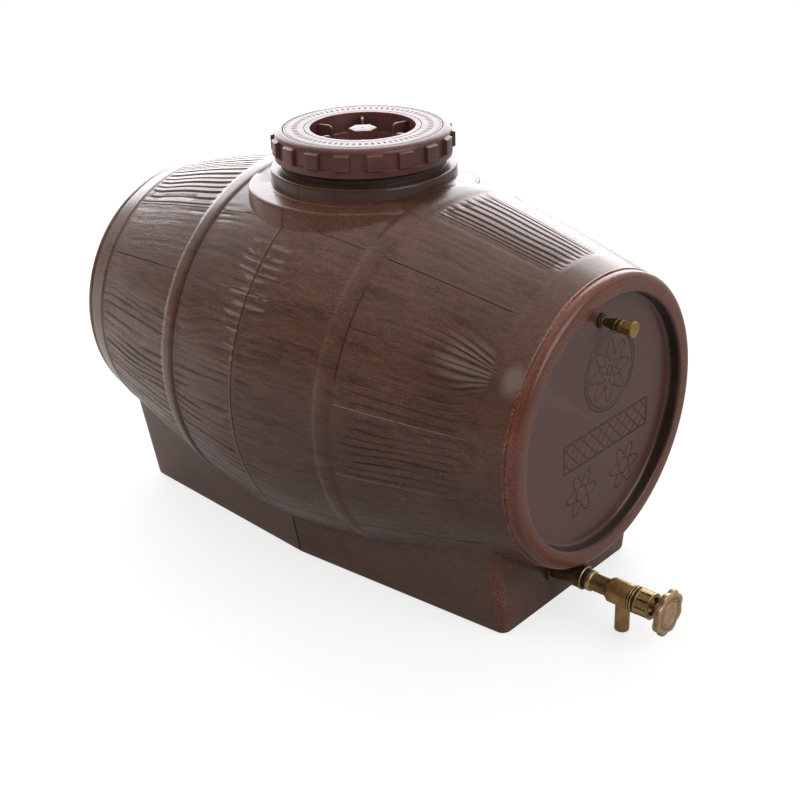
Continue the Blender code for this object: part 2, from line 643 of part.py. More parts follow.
def make_vent(brass, rubber):
    """Tapered vent through the head, held by a nut inside and closed by a screw cap."""
    axis = (0, 0, VENT_Z)
    tail_gap = VENT_TAIL_RADIUS + FIT_GAP
    washer_low = HEAD_X + FIT_GAP
    outer = ring(tail_gap, VENT_WASHER_RADIUS, washer_low, washer_low + VENT_WASHER_THICKNESS)
    turned("vent_outer_washer", outer, SMALL_STEPS, rubber, axis, along_x=True)
    washer_high = HEAD_X - WALL - FIT_GAP
    inner = ring(tail_gap, VENT_WASHER_RADIUS, washer_high - VENT_WASHER_THICKNESS, washer_high)
    turned("vent_inner_washer", inner, SMALL_STEPS, rubber, axis, along_x=True)
    nut_high = washer_high - VENT_WASHER_THICKNESS - FIT_GAP
    nut_low = nut_high - VENT_NUT_HEIGHT
    hexagon_nut("vent_lock_nut", VENT_NUT_ACROSS_FLATS, tail_gap, nut_low, nut_high, brass, axis)
    tail_low = nut_low - VENT_TAIL_OVERHANG
    body = [(VENT_BORE_RADIUS, VENT_STUB_END_X), (VENT_STUB_RADIUS, VENT_STUB_END_X),
            (VENT_STUB_RADIUS, VENT_STUB_X), (VENT_CONE_END_RADIUS - EDGE_ROUND, VENT_STUB_X),
            (VENT_CONE_END_RADIUS, VENT_STUB_X - EDGE_ROUND), (VENT_CONE_ROOT_RADIUS, VENT_CONE_X),
            (VENT_FOOT_RADIUS, VENT_CONE_X), (VENT_FOOT_RADIUS, VENT_FOOT_X), (VENT_TAIL_RADIUS, VENT_FOOT_X),
            (VENT_TAIL_RADIUS, tail_low), (VENT_BORE_RADIUS, tail_low)]
    turned("vent_body", body, SMALL_STEPS, brass, axis, along_x=True)
    seal_low = VENT_STUB_X + FIT_GAP
    seal_high = seal_low + VENT_SEAL_THICKNESS
    seal = ring(VENT_STUB_RADIUS + FIT_GAP, VENT_SEAL_RADIUS, seal_low, seal_high)
    turned("vent_cap_seal", seal, SMALL_STEPS, rubber, axis, along_x=True)

    collar_low = seal_high + FIT_GAP
    collar_high = collar_low + VENT_CAP_COLLAR_LENGTH
    bore_high = VENT_STUB_END_X + VENT_CAP_END_ROOM
    hexagon_high = bore_high + VENT_CAP_CEILING
    head_high = hexagon_high + VENT_CAP_HEAD_LENGTH
    cap = turned("vent_cap", rod(VENT_CAP_COLLAR_RADIUS, collar_low, collar_high), SMALL_STEPS, brass, axis,
                 along_x=True)
    corner = circumradius(VENT_CAP_ACROSS_FLATS)
    middle = (collar_low + collar_high) / 2
    waist = mesh_object("vent_cap_hexagon",
                        lambda bm: add_prism(bm, 6, corner, middle, hexagon_high + FIT_GAP),
                        location=axis, along_x=True)
    head = turned("vent_cap_head", round_rod(VENT_CAP_HEAD_RADIUS, hexagon_high, head_high), SMALL_STEPS,
                  location=axis, along_x=True)
    drill = turned("vent_cap_drill", rod(VENT_STUB_RADIUS + FIT_GAP, collar_low - OVERRUN, bore_high),
                   SMALL_STEPS, location=axis, along_x=True)
    combine(cap, waist, "UNION")
    combine(cap, head, "UNION")
    combine(cap, drill, "DIFFERENCE")


# Tap


def make_bulkhead(brass, rubber):
    """Socket through the wall of the foot, its two washers and its lock nut."""
    axis = (0, TAP_Y, TAP_Z)
    tail_gap = SOCKET_TAIL_RADIUS + FIT_GAP
    washer_low = TAP_BOSS_X + FIT_GAP
    outer = ring(tail_gap, SOCKET_RADIUS, washer_low, washer_low + TAP_WASHER_THICKNESS)
    turned("tap_outer_washer", outer, TAP_STEPS, rubber, axis, along_x=True)
    washer_high = FOOT_HALF_LENGTH - WALL - FIT_GAP
    inner = ring(tail_gap, TAP_INNER_WASHER_RADIUS, washer_high - TAP_WASHER_THICKNESS, washer_high)
    turned("tap_inner_washer", inner, TAP_STEPS, rubber, axis, along_x=True)
    nut_high = washer_high - TAP_WASHER_THICKNESS - FIT_GAP
    nut_low = nut_high - TAP_NUT_HEIGHT
    hexagon_nut("tap_lock_nut", TAP_NUT_ACROSS_FLATS, tail_gap, nut_low, nut_high, brass, axis)
    tail_low = nut_low - SOCKET_TAIL_OVERHANG
    bore = INLET_THREAD_RADIUS + FIT_GAP
    bore_low = INLET_END_X - SOCKET_TAIL_OVERHANG
    lip_radius = SOCKET_RADIUS + SOCKET_LIP_HEIGHT
    lip_back = SOCKET_END_X - SOCKET_LIP_LENGTH
    outline = [(bore, SOCKET_END_X), (lip_radius, SOCKET_END_X), (lip_radius, lip_back),
               (SOCKET_RADIUS, lip_back - SOCKET_LIP_HEIGHT), (SOCKET_RADIUS, SOCKET_X),
               (SOCKET_TAIL_RADIUS, SOCKET_X), (SOCKET_TAIL_RADIUS, tail_low), (SOCKET_BORE_RADIUS, tail_low),
               (SOCKET_BORE_RADIUS, bore_low), (bore, bore_low)]
    turned("tap_bulkhead_socket", outline, TAP_STEPS, brass, axis, along_x=True)


def make_tap_body(brass, rubber):
    """Inlet thread, collar, tube, shouldered body with a raised seat, and the spout."""
    axis = (0, TAP_Y, TAP_Z)
    seal_low = SOCKET_END_X + FIT_GAP
    seal_inner = INLET_THREAD_RADIUS + FIT_GAP
    seal = ring(seal_inner, seal_inner + INLET_SEAL_WALL, seal_low, seal_low + INLET_SEAL_LENGTH)
    turned("tap_inlet_seal", seal, TAP_STEPS, rubber, axis, along_x=True)
    outline = [(0, BODY_END_X), (BODY_RADIUS, BODY_END_X)]
    for number in range(BEAD_COUNT):
        bead = BODY_END_X - BEAD_PITCH * (number + 0.25)
        outline += [(BODY_RADIUS + BEAD_HEIGHT, bead), (BODY_RADIUS + BEAD_HEIGHT, bead - BEAD_PITCH / 2),
                    (BODY_RADIUS - BEAD_HEIGHT, bead - BEAD_PITCH * 0.6)]
    outline += [(BODY_RADIUS, BODY_END_X - BEAD_PITCH * (BEAD_COUNT + 0.1)), (BODY_RADIUS, BODY_X),
                (INLET_TUBE_RADIUS, SHOULDER_X), (INLET_TUBE_RADIUS, INLET_TUBE_X),
                (INLET_COLLAR_RADIUS, INLET_TUBE_X), (INLET_COLLAR_RADIUS, INLET_COLLAR_X),
                (INLET_THREAD_RADIUS, INLET_COLLAR_X), (INLET_THREAD_RADIUS, INLET_END_X), (0, INLET_END_X)]
    body = turned("tap_body", outline, TAP_STEPS, brass, axis, along_x=True)
    bore_outline = [(0, BODY_END_X + OVERRUN), (CHAMBER_RADIUS, BODY_END_X + OVERRUN),
                    (CHAMBER_RADIUS, SEAT_X - SEAT_HEIGHT), (SEAT_RADIUS, SEAT_X - SEAT_HEIGHT),
                    (SEAT_RADIUS, SEAT_X), (BODY_BORE_RADIUS, SEAT_X),
                    (BODY_BORE_RADIUS, INLET_END_X - OVERRUN), (0, INLET_END_X - OVERRUN)]
    bore = turned("tap_body_bore", bore_outline, TAP_STEPS, location=axis, along_x=True)
    spout_axis = (SPOUT_X, TAP_Y, 0)
    spout = turned("tap_spout", rod(SPOUT_RADIUS, SPOUT_END_Z, TAP_Z), SMALL_STEPS, location=spout_axis)
    spout_bore = turned("tap_spout_bore", rod(SPOUT_RADIUS - SPOUT_WALL, SPOUT_END_Z - OVERRUN, TAP_Z),
                        SMALL_STEPS, location=spout_axis)
    combine(body, spout, "UNION")
    combine(body, bore, "DIFFERENCE")
    combine(body, spout_bore, "DIFFERENCE")


def make_valve(brass, rubber):
    """Washer and disc that close the seat, and swivel on the spindle's tip."""
    axis = (0, TAP_Y, TAP_Z)
    washer_low = SEAT_X + FIT_GAP
    turned("tap_valve_washer", rod(VALVE_WASHER_RADIUS, washer_low, washer_low + VALVE_WASHER_THICKNESS),
           SMALL_STEPS, rubber, axis, along_x=True)
    tip_bore = SPINDLE_RADIUS + FIT_GAP
    boss_radius = tip_bore + VALVE_BOSS_WALL
    outline = [(0, VALVE_BOSS_X), (tip_bore, VALVE_BOSS_X), (tip_bore, VALVE_BOSS_END_X),
               (boss_radius, VALVE_BOSS_END_X), (boss_radius, VALVE_BOSS_X),
               (VALVE_PLATE_RADIUS, VALVE_BOSS_X), (VALVE_PLATE_RADIUS, VALVE_PLATE_X), (0, VALVE_PLATE_X)]
    turned("tap_valve_disc", outline, SMALL_STEPS, brass, axis, along_x=True)


def make_bonnet(brass, rubber):
    """Faceted bonnet screwed into the body, with its seal, the packing and the gland nut."""
    axis = (0, TAP_Y, TAP_Z)
    seal_low = BODY_END_X + FIT_GAP
    seal = ring(CHAMBER_RADIUS, BONNET_SEAL_RADIUS, seal_low, seal_low + BONNET_SEAL_THICKNESS)
    turned("tap_bonnet_seal", seal, TAP_STEPS, rubber, axis, along_x=True)
    tail_low = BONNET_X - BONNET_TAIL_LENGTH
    spindle_bore = SPINDLE_RADIUS + FIT_GAP
    thread_bore = SPINDLE_THREAD_RADIUS + FIT_GAP
    guide_low = PACKING_POCKET_X - BONNET_GUIDE_LENGTH
    bonnet = mesh_object("tap_bonnet",
                         lambda bm: add_prism(bm, BONNET_FACETS, BONNET_HEAD_RADIUS, BONNET_X, BONNET_END_X),
                         brass, axis, along_x=True)
    tail = turned("tap_bonnet_tail", rod(CHAMBER_RADIUS - FIT_GAP, tail_low, BONNET_X + FIT_GAP), TAP_STEPS,
                  location=axis, along_x=True)
    drill_outline = [(0, BONNET_END_X + OVERRUN), (BONNET_RECESS_RADIUS, BONNET_END_X + OVERRUN),
                     (BONNET_RECESS_RADIUS, BONNET_RECESS_X), (PACKING_POCKET_RADIUS, BONNET_RECESS_X),
                     (PACKING_POCKET_RADIUS, PACKING_POCKET_X), (spindle_bore, PACKING_POCKET_X),
                     (spindle_bore, guide_low), (thread_bore, guide_low), (thread_bore, tail_low - OVERRUN),
                     (0, tail_low - OVERRUN)]
    drill = turned("tap_bonnet_drill", drill_outline, SMALL_STEPS, location=axis, along_x=True)
    combine(bonnet, tail, "UNION")
    combine(bonnet, drill, "DIFFERENCE")

    packing_low = PACKING_POCKET_X + FIT_GAP
    packing_high = packing_low + PACKING_THICKNESS
    pocket_radius = PACKING_POCKET_RADIUS - FIT_GAP
    packing = ring(spindle_bore, pocket_radius, packing_low, packing_high)
    turned("tap_packing", packing, SMALL_STEPS, rubber, axis, along_x=True)
    gland_low = BONNET_RECESS_X + FIT_GAP
    gland_high = gland_low + GLAND_HEAD_LENGTH
    gland = hexagon_nut("tap_gland_nut", GLAND_ACROSS_FLATS, spindle_bore, gland_low, gland_high, brass, axis)
    neck = ring(spindle_bore, pocket_radius, packing_high + FIT_GAP, (gland_low + gland_high) / 2)
    collar = turned("tap_gland_collar", neck, SMALL_STEPS, location=axis, along_x=True)
    combine(gland, collar, "UNION")


def make_spindle(brass):
    """Stem with a threaded length, a smooth neck, a square end and a hole for the wheel's screw."""
    axis = (0, TAP_Y, TAP_Z)
    tip = VALVE_BOSS_X + FIT_GAP
    thread_low = VALVE_BOSS_END_X + FIT_GAP
    thread_high = thread_low + SPINDLE_THREAD_LENGTH
    round_end = WHEEL_HUB_X - FIT_GAP
    outline = [(0, round_end), (SPINDLE_RADIUS, round_end), (SPINDLE_RADIUS, thread_high),
               (SPINDLE_THREAD_RADIUS, thread_high), (SPINDLE_THREAD_RADIUS, thread_low),
               (SPINDLE_RADIUS, thread_low), (SPINDLE_RADIUS, tip), (0, tip)]
    spindle = turned("tap_spindle", outline, SMALL_STEPS, brass, axis, along_x=True)
    corner = circumradius(SPINDLE_SQUARE, 4)
    square = mesh_object("spindle_square",
                         lambda bm: add_prism(bm, 4, corner, round_end - WHEEL_WEB, SPINDLE_END_X),
                         location=axis, along_x=True)
    drill = rod(WHEEL_SCREW_RADIUS + FIT_GAP, SPINDLE_END_X - WHEEL_SCREW_LENGTH, SPINDLE_END_X + OVERRUN)
    hole = turned("spindle_screw_hole", drill, SMALL_STEPS, location=axis, along_x=True)
    combine(spindle, square, "UNION")
    combine(spindle, hole, "DIFFERENCE")


def make_handwheel(brass, steel):
    """Lobed wheel on the spindle's square, with a round plate let into its face, over the screw."""
    axis = (0, TAP_Y, TAP_Z)
    middle = (WHEEL_BACK_X + WHEEL_FACE_X) / 2

    def add_lobed_disc(bm):
        bmesh.ops.create_cone(bm, cap_ends=True, segments=WHEEL_LOBES * 5, radius1=WHEEL_RADIUS,
                              radius2=WHEEL_RADIUS, depth=WHEEL_THICKNESS,
                              matrix=Matrix.Translation((0, 0, middle)))
        for vert in bm.verts:
            angle = math.atan2(vert.co.y, vert.co.x)
            swell = (1 + math.cos(WHEEL_LOBES * (angle - WHEEL_LOBE_TURN))) / 2
            vert.co.xy *= 1 - WHEEL_LOBE_DEPTH / WHEEL_RADIUS * (1 - swell)
        edges = [e for e in bm.edges if (e.verts[0].co.z - middle) * (e.verts[1].co.z - middle) > 0]
        bmesh.ops.bevel(bm, geom=edges, offset=WHEEL_EDGE_ROUND, segments=1, profile=0.5, affect="EDGES")

    wheel = mesh_object("tap_handwheel", add_lobed_disc, brass, axis, along_x=True)
    hub = turned("handwheel_hub", rod(WHEEL_HUB_RADIUS, WHEEL_HUB_X, WHEEL_SCREW_SEAT_X), SMALL_STEPS,
                 location=axis, along_x=True)
    pocket = WHEEL_SCREW_HEAD_RADIUS + FIT_GAP
    pocket_low = WHEEL_SCREW_SEAT_X - FIT_GAP
    shank = WHEEL_SCREW_RADIUS + FIT_GAP
    plate_low = WHEEL_CAP_X - FIT_GAP
    plate_radius = WHEEL_CAP_RADIUS + FIT_GAP
    drill_outline = [(0, WHEEL_FACE_X + OVERRUN), (plate_radius, WHEEL_FACE_X + OVERRUN),
                     (plate_radius, plate_low), (pocket, plate_low), (pocket, pocket_low),
                     (shank, pocket_low), (shank, SPINDLE_END_X), (0, SPINDLE_END_X)]
    drill = turned("handwheel_drill", drill_outline, SMALL_STEPS, location=axis, along_x=True)
    corner = circumradius(SPINDLE_SQUARE + 2 * FIT_GAP, 4)
    square = mesh_object("handwheel_square",
                         lambda bm: add_prism(bm, 4, corner, WHEEL_HUB_X - OVERRUN, SPINDLE_END_X + FIT_GAP),
                         location=axis, along_x=True)
    combine(wheel, hub, "UNION")
    combine(wheel, drill, "DIFFERENCE")
    combine(wheel, square, "DIFFERENCE")
    screw_low = SPINDLE_END_X - WHEEL_SCREW_LENGTH + FIT_GAP
    screw_high = WHEEL_SCREW_SEAT_X + WHEEL_SCREW_HEAD_LENGTH
    screw = [(0, screw_high), (WHEEL_SCREW_HEAD_RADIUS, screw_high),
             (WHEEL_SCREW_HEAD_RADIUS, WHEEL_SCREW_SEAT_X), (WHEEL_SCREW_RADIUS, WHEEL_SCREW_SEAT_X),
             (WHEEL_SCREW_RADIUS, screw_low), (0, screw_low)]
    turned("tap_handwheel_screw", screw, SMALL_STEPS, steel, axis, along_x=True)
    cap = round_rod(WHEEL_CAP_RADIUS, WHEEL_CAP_X, WHEEL_FACE_X)
    turned("tap_handwheel_cap", cap, SMALL_STEPS, brass, axis, along_x=True)


# Finish


def settle_parts():
    """Give each part the mesh that its modifiers make, smooth but for its sharp edges."""
    bpy.context.view_layer.update()
    depsgraph = bpy.context.evaluated_depsgraph_get()
    made = {}
    for obj in PARTS.objects:
        made[obj] = bpy.data.meshes.new_from_object(obj.evaluated_get(depsgraph))
    for obj, mesh in made.items():
        obj.modifiers.clear()
        mesh.name = obj.name
        obj.data = mesh
        mesh.shade_smooth()
        mesh.set_sharp_from_angle(angle=math.radians(32))


def main():
    clear_scene()
    plastic = plain_material("brown_plastic", (0.080, 0.042, 0.032), 0.45)
    lid_plastic = plain_material("lid_plastic", (0.090, 0.032, 0.028), 0.32)
    brass = plain_material("brass", (0.30, 0.20, 0.08), 0.38, 0.9)
    rubber = plain_material("black_rubber", (0.015, 0.014, 0.013), 0.6)
    steel = plain_material("screw_steel", (0.45, 0.44, 0.42), 0.35, 1.0)
    make_barrel_shell(plastic)
    make_lid_ring_nut(lid_plastic)
    make_lid_disc(lid_plastic)
    make_lid_gasket(rubber)
    make_vent(brass, rubber)
    make_bulkhead(brass, rubber)
    make_tap_body(brass, rubber)
    make_valve(brass, rubber)
    make_bonnet(brass, rubber)
    make_spindle(brass)
    make_handwheel(brass, steel)
    settle_parts()


main()
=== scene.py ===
import math

import bpy
import numpy as np
from bpy.props import FloatProperty, FloatVectorProperty, IntProperty, PointerProperty
from bpy.types import Operator, Panel, PropertyGroup
from mathutils import Matrix, Vector


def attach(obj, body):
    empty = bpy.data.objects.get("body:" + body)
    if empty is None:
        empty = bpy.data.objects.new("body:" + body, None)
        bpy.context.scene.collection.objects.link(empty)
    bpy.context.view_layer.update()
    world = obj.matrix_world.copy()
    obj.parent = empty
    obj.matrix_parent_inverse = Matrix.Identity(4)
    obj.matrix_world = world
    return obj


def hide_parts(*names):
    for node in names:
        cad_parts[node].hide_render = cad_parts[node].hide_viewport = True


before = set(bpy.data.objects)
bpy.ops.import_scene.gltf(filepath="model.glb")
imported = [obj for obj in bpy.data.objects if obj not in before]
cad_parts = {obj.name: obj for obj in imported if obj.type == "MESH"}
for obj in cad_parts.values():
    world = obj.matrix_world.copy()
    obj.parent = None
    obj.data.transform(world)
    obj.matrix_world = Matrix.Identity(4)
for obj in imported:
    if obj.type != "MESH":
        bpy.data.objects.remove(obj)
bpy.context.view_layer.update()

bl_info = {
    "name": "Moulded wine barrel",
    "version": (1, 0, 0),
    "blender": (4, 5, 0),
    "location": "3D View > Sidebar > Barrel",
    "description": "Dresses the packed model of a moulded wine barrel with its staves, screw lid, vent and tap",
    "category": "Add Mesh",
}

# Barrel moulding, in metres
AXIS_Z = 0.2010
BELLY_RADIUS = 0.2005
WALL = 0.0045
STAVE_END_X = 0.2620
STAVE_END_RADIUS = 0.1525
BULGE_POWER = 1.5
STAVES = 16
HOOP_X = 0.1090
HOOP_HALF = 0.0095
HOOP_HEIGHT = 0.0024
BAND_END_X = 0.2885
RIM_RADIUS = 0.1450
RIM_BACK_X = 0.2905
RIM_SHOULDER_X = 0.2935
RIM_NOSE_X = 0.3005
MOUTH_RADIUS = 0.1253
FRONT_BAND_STEP = 0.0004
REAR_BAND_STEP = 0.0012
HALVES_STEP = 0.0003
FLASH_HEIGHT = 0.0002
HEAD_X = 0.2874
FOOT_X = 0.2605
FOOT_Y = 0.1040
FOOT_MIDDLE_Y = 0.1216
FOOT_LEAN = 0.17
FOOT_CORNER = 0.010
FOOT_EDGE = 0.004
FOOT_HEIGHT = 0.13
FOOT_GROOVE = 0.0013
PLINTH_TOP = 0.3835
PLINTH_RADIUS = 0.1150
PLINTH_PROUD = 0.0010
COLLAR_TOP = 0.3999
COLLAR_RADIUS = 0.0931
NECK_RADIUS = 0.0830
NECK_TOP = 0.4250
NECK_BORE = 0.0770
THREAD_TOP = 0.4240
THREAD_FOOT = 0.4008
THREAD_PITCH = 0.0080
THREAD_HEIGHT = 0.0013

# Lid, in metres
LID_TOP = 0.4368
RING_BOTTOM = 0.4083
RING_RADIUS = 0.0878
RING_BORE = 0.0848
LUG_WIDTH = 0.0155
LUG_RADIUS = 0.0905
LUG_HALF_ANGLE = LUG_WIDTH / 2 / LUG_RADIUS
BOSS_TURN = math.radians(13.6)

# Vent and tap, in metres
VENT_AXIS = (0.0, 0.0, 0.3023)
TAP_AXIS = (0.0, -0.0235, 0.0415)
UPRIGHT = (0.0, 0.0, 0.0)
SPOUT_X = 0.3402
SPOUT_BORE = 0.00525
VENT_HOLE = 0.0037
TAP_PAD_RADIUS = 0.0165
TAP_PAD_X = 0.2641
BONNET_PADS = 10
BONNET_TURN = 0.1
BONNET_RADIUS = 0.0134
WHEEL_BACK_X = 0.3847
WHEEL_FACE_X = 0.3922

# Camera: its place in metres, its angles in degrees, and its focal length in pixels of a picture so wide
CAMERA_PLACE = (0.92647, -0.97402, 0.79225)
CAMERA_YAW, CAMERA_PITCH, CAMERA_ROLL = 42.3524, 26.1019, -1.7702
FOCAL_PIXELS = 1380.63
PICTURE_PIXELS = 800
SENSOR_WIDTH = 36.0


# Settings


def count_setting(name, description, default, least, most):
    """A whole number."""
    return IntProperty(name=name, description=description, default=default, min=least, max=most)


def length_setting(name, description, default, most, least=0.0):
    """A length in metres."""
    return FloatProperty(name=name, description=description, default=default, min=least, max=most,
                         unit="LENGTH")


def power_setting(name, description, default):
    """A lamp's power in watts."""
    return FloatProperty(name=name, description=description, default=default, min=0.0, max=500.0,
                         unit="POWER")


def colour_setting(name, description, default):
    """A colour, as linear red, green and blue."""
    return FloatVectorProperty(name=name, description=description, default=default, min=0.0, max=1.0,
                               subtype="COLOR")


class BarrelSettings(PropertyGroup):
    grooves: count_setting("Grooves", "Number of grooves of the wood grain on each stave", 8, 3, 9)
    grain_depth: length_setting("Grain depth", "Depth of the deepest grooves of the grain", 0.0019, 0.0020)
    gap_depth: length_setting("Stave gap", "Depth of the gaps between the staves", 0.0013, 0.004)
    brown: colour_setting("Brown", "Colour of the moulded plastic", (0.084, 0.041, 0.027))
    dark: colour_setting("Dark brown", "Colour in the grooves and the darker patches", (0.046, 0.021, 0.014))
    rust: colour_setting("Speckle", "Colour of the reddish specks in the plastic", (0.24, 0.072, 0.036))
    # Pale flecks, and also the painted highlights by the parting line, in the front swirl and on the front band
    pale_fleck_and_highlight: colour_setting("Rubbed", "Colour of the plastic where it's rubbed pale", (0.21, 0.155, 0.13))


class LidSettings(PropertyGroup):
    lugs: count_setting("Lugs", "Number of grip lugs round the lid's ring", 18, 6, 36)
    lug_reach: length_setting("Lug reach", "How far a lug stands out of the ring", 0.0038, 0.0038, 0.001)
    colour: colour_setting("Lid", "Colour of the lid's plastic", (0.098, 0.034, 0.029))


class TapSettings(PropertyGroup):
    lobes: count_setting("Lobes", "Number of lobes round the handwheel", 8, 5, 12)
    lobe_depth: length_setting("Lobe depth", "Depth of the hollows between the wheel's lobes", 0.0022, 0.004)
    bronze: colour_setting("Bronze", "Colour of the tap's body", (0.45, 0.28, 0.112))
    tan: colour_setting("Wheel", "Colour of the handwheel", (0.54, 0.37, 0.215))
    brass: colour_setting("Brass", "Colour of the vent and the pale brass rings", (0.19, 0.13, 0.043))


class StageSettings(PropertyGroup):
    floor: colour_setting("Floor", "Colour of the floor", (0.92, 0.92, 0.92))
    back_light: power_setting("Back light", "Power of the large softbox behind the barrel", 160.0)
    key_light: power_setting("Key light", "Power of the lamp high in front of the staves", 42.0)
    side_light: power_setting("Side light", "Power of the soft lamp on the camera's left", 20.0)
    fill_light: power_setting("Fill light", "Power of the soft lamp in front of the head", 36.0)


# Formulas that several surfaces share


def ramp(over, width):
    """From 0 to 1 as over grows from nothing to width."""
    return np.clip(over / width, 0, 1)


def eased(value, low, high):
    """From 0 at low to 1 at high, as three times the square less twice the cube of the share."""
    share = ramp(value - low, high - low)
    return share * share * (3 - 2 * share)


def spot(*axes):
    """One at a spot's middle and exp(-squares) round it, from (value, middle, reach) along each axis."""
    return np.exp(-sum(((value - middle) / reach) ** 2 for value, middle, reach in axes))


def off_nearest(angle, step):
    """Angle from the nearest multiple of a step."""
    return np.mod(angle + step / 2, step) - step / 2


# Surfaces


def arc(centre_radius, centre_height, radius, start, end, segments, tall=None):
    """Profile points of an elliptic arc: centre plus (radius times cosine, tall times sine) of an angle
    that runs from start to end in degrees."""
    angle = np.radians(np.linspace(start, end, segments + 1))
    tall = radius if tall is None else tall
    return np.stack([centre_radius + radius * np.cos(angle), centre_height + tall * np.sin(angle)], 1)


def rounded(corners, segments=4, ring=False):
    """Profile through (radius, height, rounding) corners. Each rounded corner becomes an arc that touches
    both sides: its centre lies on the corner's bisector, at rounding over the sine of half the corner's
    angle."""
    made = []
    count = len(corners)
    for i, corner in enumerate(corners):
        here = np.array(corner[:2])
        size = corner[2] if len(corner) > 2 else 0.0
        if not size or (not ring and i in (0, count - 1)):
            made.append(here[None])
            continue
        to_last = np.array(corners[i - 1][:2]) - here
        to_next = np.array(corners[(i + 1) % count][:2]) - here
        shortest = min(np.hypot(*to_last), np.hypot(*to_next))
        to_last = to_last / np.hypot(*to_last)
        to_next = to_next / np.hypot(*to_next)
        half = math.acos(np.clip(to_last @ to_next, -1, 1)) / 2
        reach = min(size / math.tan(half), shortest * 0.48)
        bisector = (to_last + to_next) / np.hypot(*(to_last + to_next))
        centre = here + bisector * reach / math.cos(half)
        first, last = here + to_last * reach - centre, here + to_next * reach - centre
        share = np.linspace(0, 1, segments + 1)[:, None]
        turn = math.pi - 2 * half
        swing = np.sin((1 - share) * turn) * first + np.sin(share * turn) * last
        made.append(centre + swing / math.sin(turn))
    return np.concatenate(made)


def washer(inner, outer, low, high, rounding, bore_rounding=0.0):
    """Corners of a flat ring's profile, for rounded."""
    return [(inner, low, bore_rounding), (outer, low, rounding), (outer, high, rounding),
            (inner, high, bore_rounding)]


def loft(rows, ring=False):
    """Closed surface over rows x columns of points: quads between neighbours, columns closed round, and
    rows either closed to a ring or ended in one point each, which becomes the tip of a fan."""
    count, around = rows.shape[:2]
    columns = np.arange(around)
    after = (columns + 1) % around
    if ring:
        here = np.arange(count)[:, None] * around
        below = ((np.arange(count)[:, None] + 1) % count) * around
        quads = np.stack([here + columns, below + columns, below + after, here + after], -1)
        return rows.reshape(-1, 3), [quads.reshape(-1, 4)]
    points = np.concatenate([rows[0, :1], rows[1:-1].reshape(-1, 3), rows[-1, :1]])
    here = 1 + np.arange(count - 3)[:, None] * around
    quads = np.stack([here + columns, here + around + columns, here + around + after, here + after], -1)
    tip, last = np.full(around, len(points) - 1), 1 + (count - 3) * around
    first_fan = np.stack([0 * columns, 1 + columns, 1 + after], 1)
    last_fan = np.stack([tip, last + after, last + columns], 1)
    return points, [quads.reshape(-1, 4), first_fan, last_fan]


def turned(profile, around=96, centre=UPRIGHT, along_x=False, swell=None, angles=None):
    """Surface of revolution of (radius, height) points: radius times the cosine and sine of the angle, at
    that height. swell gives another radius from radius, height and angle. A profile that starts and ends
    on the axis is closed by its two tips, and any other is closed to a ring. Along X, angle zero points
    up and height runs along X."""
    profile = np.asarray(profile, float)
    angles = np.linspace(0, 2 * math.pi, around, endpoint=False) if angles is None else angles
    radius = np.repeat(profile[:, :1], len(angles), 1)
    height = np.repeat(profile[:, 1:], len(angles), 1)
    if swell:
        radius = swell(radius, height, angles[None])
    across, up = radius * np.cos(angles), radius * np.sin(angles)
    rows = np.stack([height, up, across] if along_x else [across, up, height], -1) + np.array(centre)
    return loft(rows, ring=profile[0, 0] > 0)


def rod(radius, low, high, around=64, centre=UPRIGHT, along_x=False):
    """Plain cylinder between two heights, closed by its two ends' middles."""
    return turned([(0, high), (radius, high), (radius, low), (0, low)], around, centre, along_x)


def polygon_radius(angles, sides, turn=0.0, soften=0.02):
    """Radius of a regular polygon of inner radius one: one over the cosine of the angle from the nearest
    side's middle, with the corners eased by soften."""
    step = 2 * math.pi / sides
    off = off_nearest(angles - turn, step)
    return np.minimum(1 / np.cos(off), (1 - soften) / math.cos(step / 2) + soften * np.cos(off))


def corner_angles(sides, turn=0.0, near=(0.0, 0.015, 0.04, 0.1, 0.2, 0.35, 0.5)):
    """Angles of a polygon's columns, close together at its corners."""
    step = 2 * math.pi / sides
    half = np.array(near)
    local = np.unique(np.concatenate([half, 1 - half])[:-1].round(6))
    local = local[local < 1]
    corners = turn + step / 2 + np.arange(sides) * step
    return (corners[:, None] + local[None] * step).ravel()


# Meshes and objects


def outward(points, faces):
    """The faces turned so that the enclosed volume, the sum of each fan triangle's triple product, is
    positive."""
    volume = 0.0
    for face in faces:
        for i in range(1, face.shape[1] - 1):
            a, b, c = points[face[:, 0]], points[face[:, i]], points[face[:, i + 1]]
            volume += np.einsum("ij,ij->", a, np.cross(b, c))
    return faces if volume > 0 else [face[:, ::-1] for face in faces]


def mesh_of(name, shape):
    """Blender mesh of a surface's points and faces, written as whole arrays."""
    points, faces = shape
    faces = outward(points, faces)
    corners = np.concatenate([face.ravel() for face in faces]).astype(np.int32)
    sides = np.concatenate([np.full(len(face), face.shape[1]) for face in faces])
    starts = np.concatenate([[0], np.cumsum(sides)[:-1]]).astype(np.int32)
    mesh = bpy.data.meshes.new(name)
    mesh.vertices.add(len(points))
    mesh.vertices.foreach_set("co", points.astype(np.float32).ravel())
    mesh.loops.add(len(corners))
    mesh.loops.foreach_set("vertex_index", corners)
    mesh.polygons.add(len(starts))
    mesh.polygons.foreach_set("loop_start", starts)
    mesh.update(calc_edges=True)
    mesh.validate()
    return mesh


def placed(name, data):
    """A new object in the scene, at the origin."""
    obj = bpy.data.objects.new(name, data)
    bpy.context.scene.collection.objects.link(obj)
    return obj


def read(items, key, width=1, kind=np.float32):
    """One value of each of a mesh's items, as a column or as rows of width."""
    values = np.empty(len(items) * width, kind)
    items.foreach_get(key, values)
    return values.reshape(-1, width) if width > 1 else values


def corner_points(mesh):
    """Number of the point at each face corner."""
    return read(mesh.loops, "vertex_index", kind=np.int32)


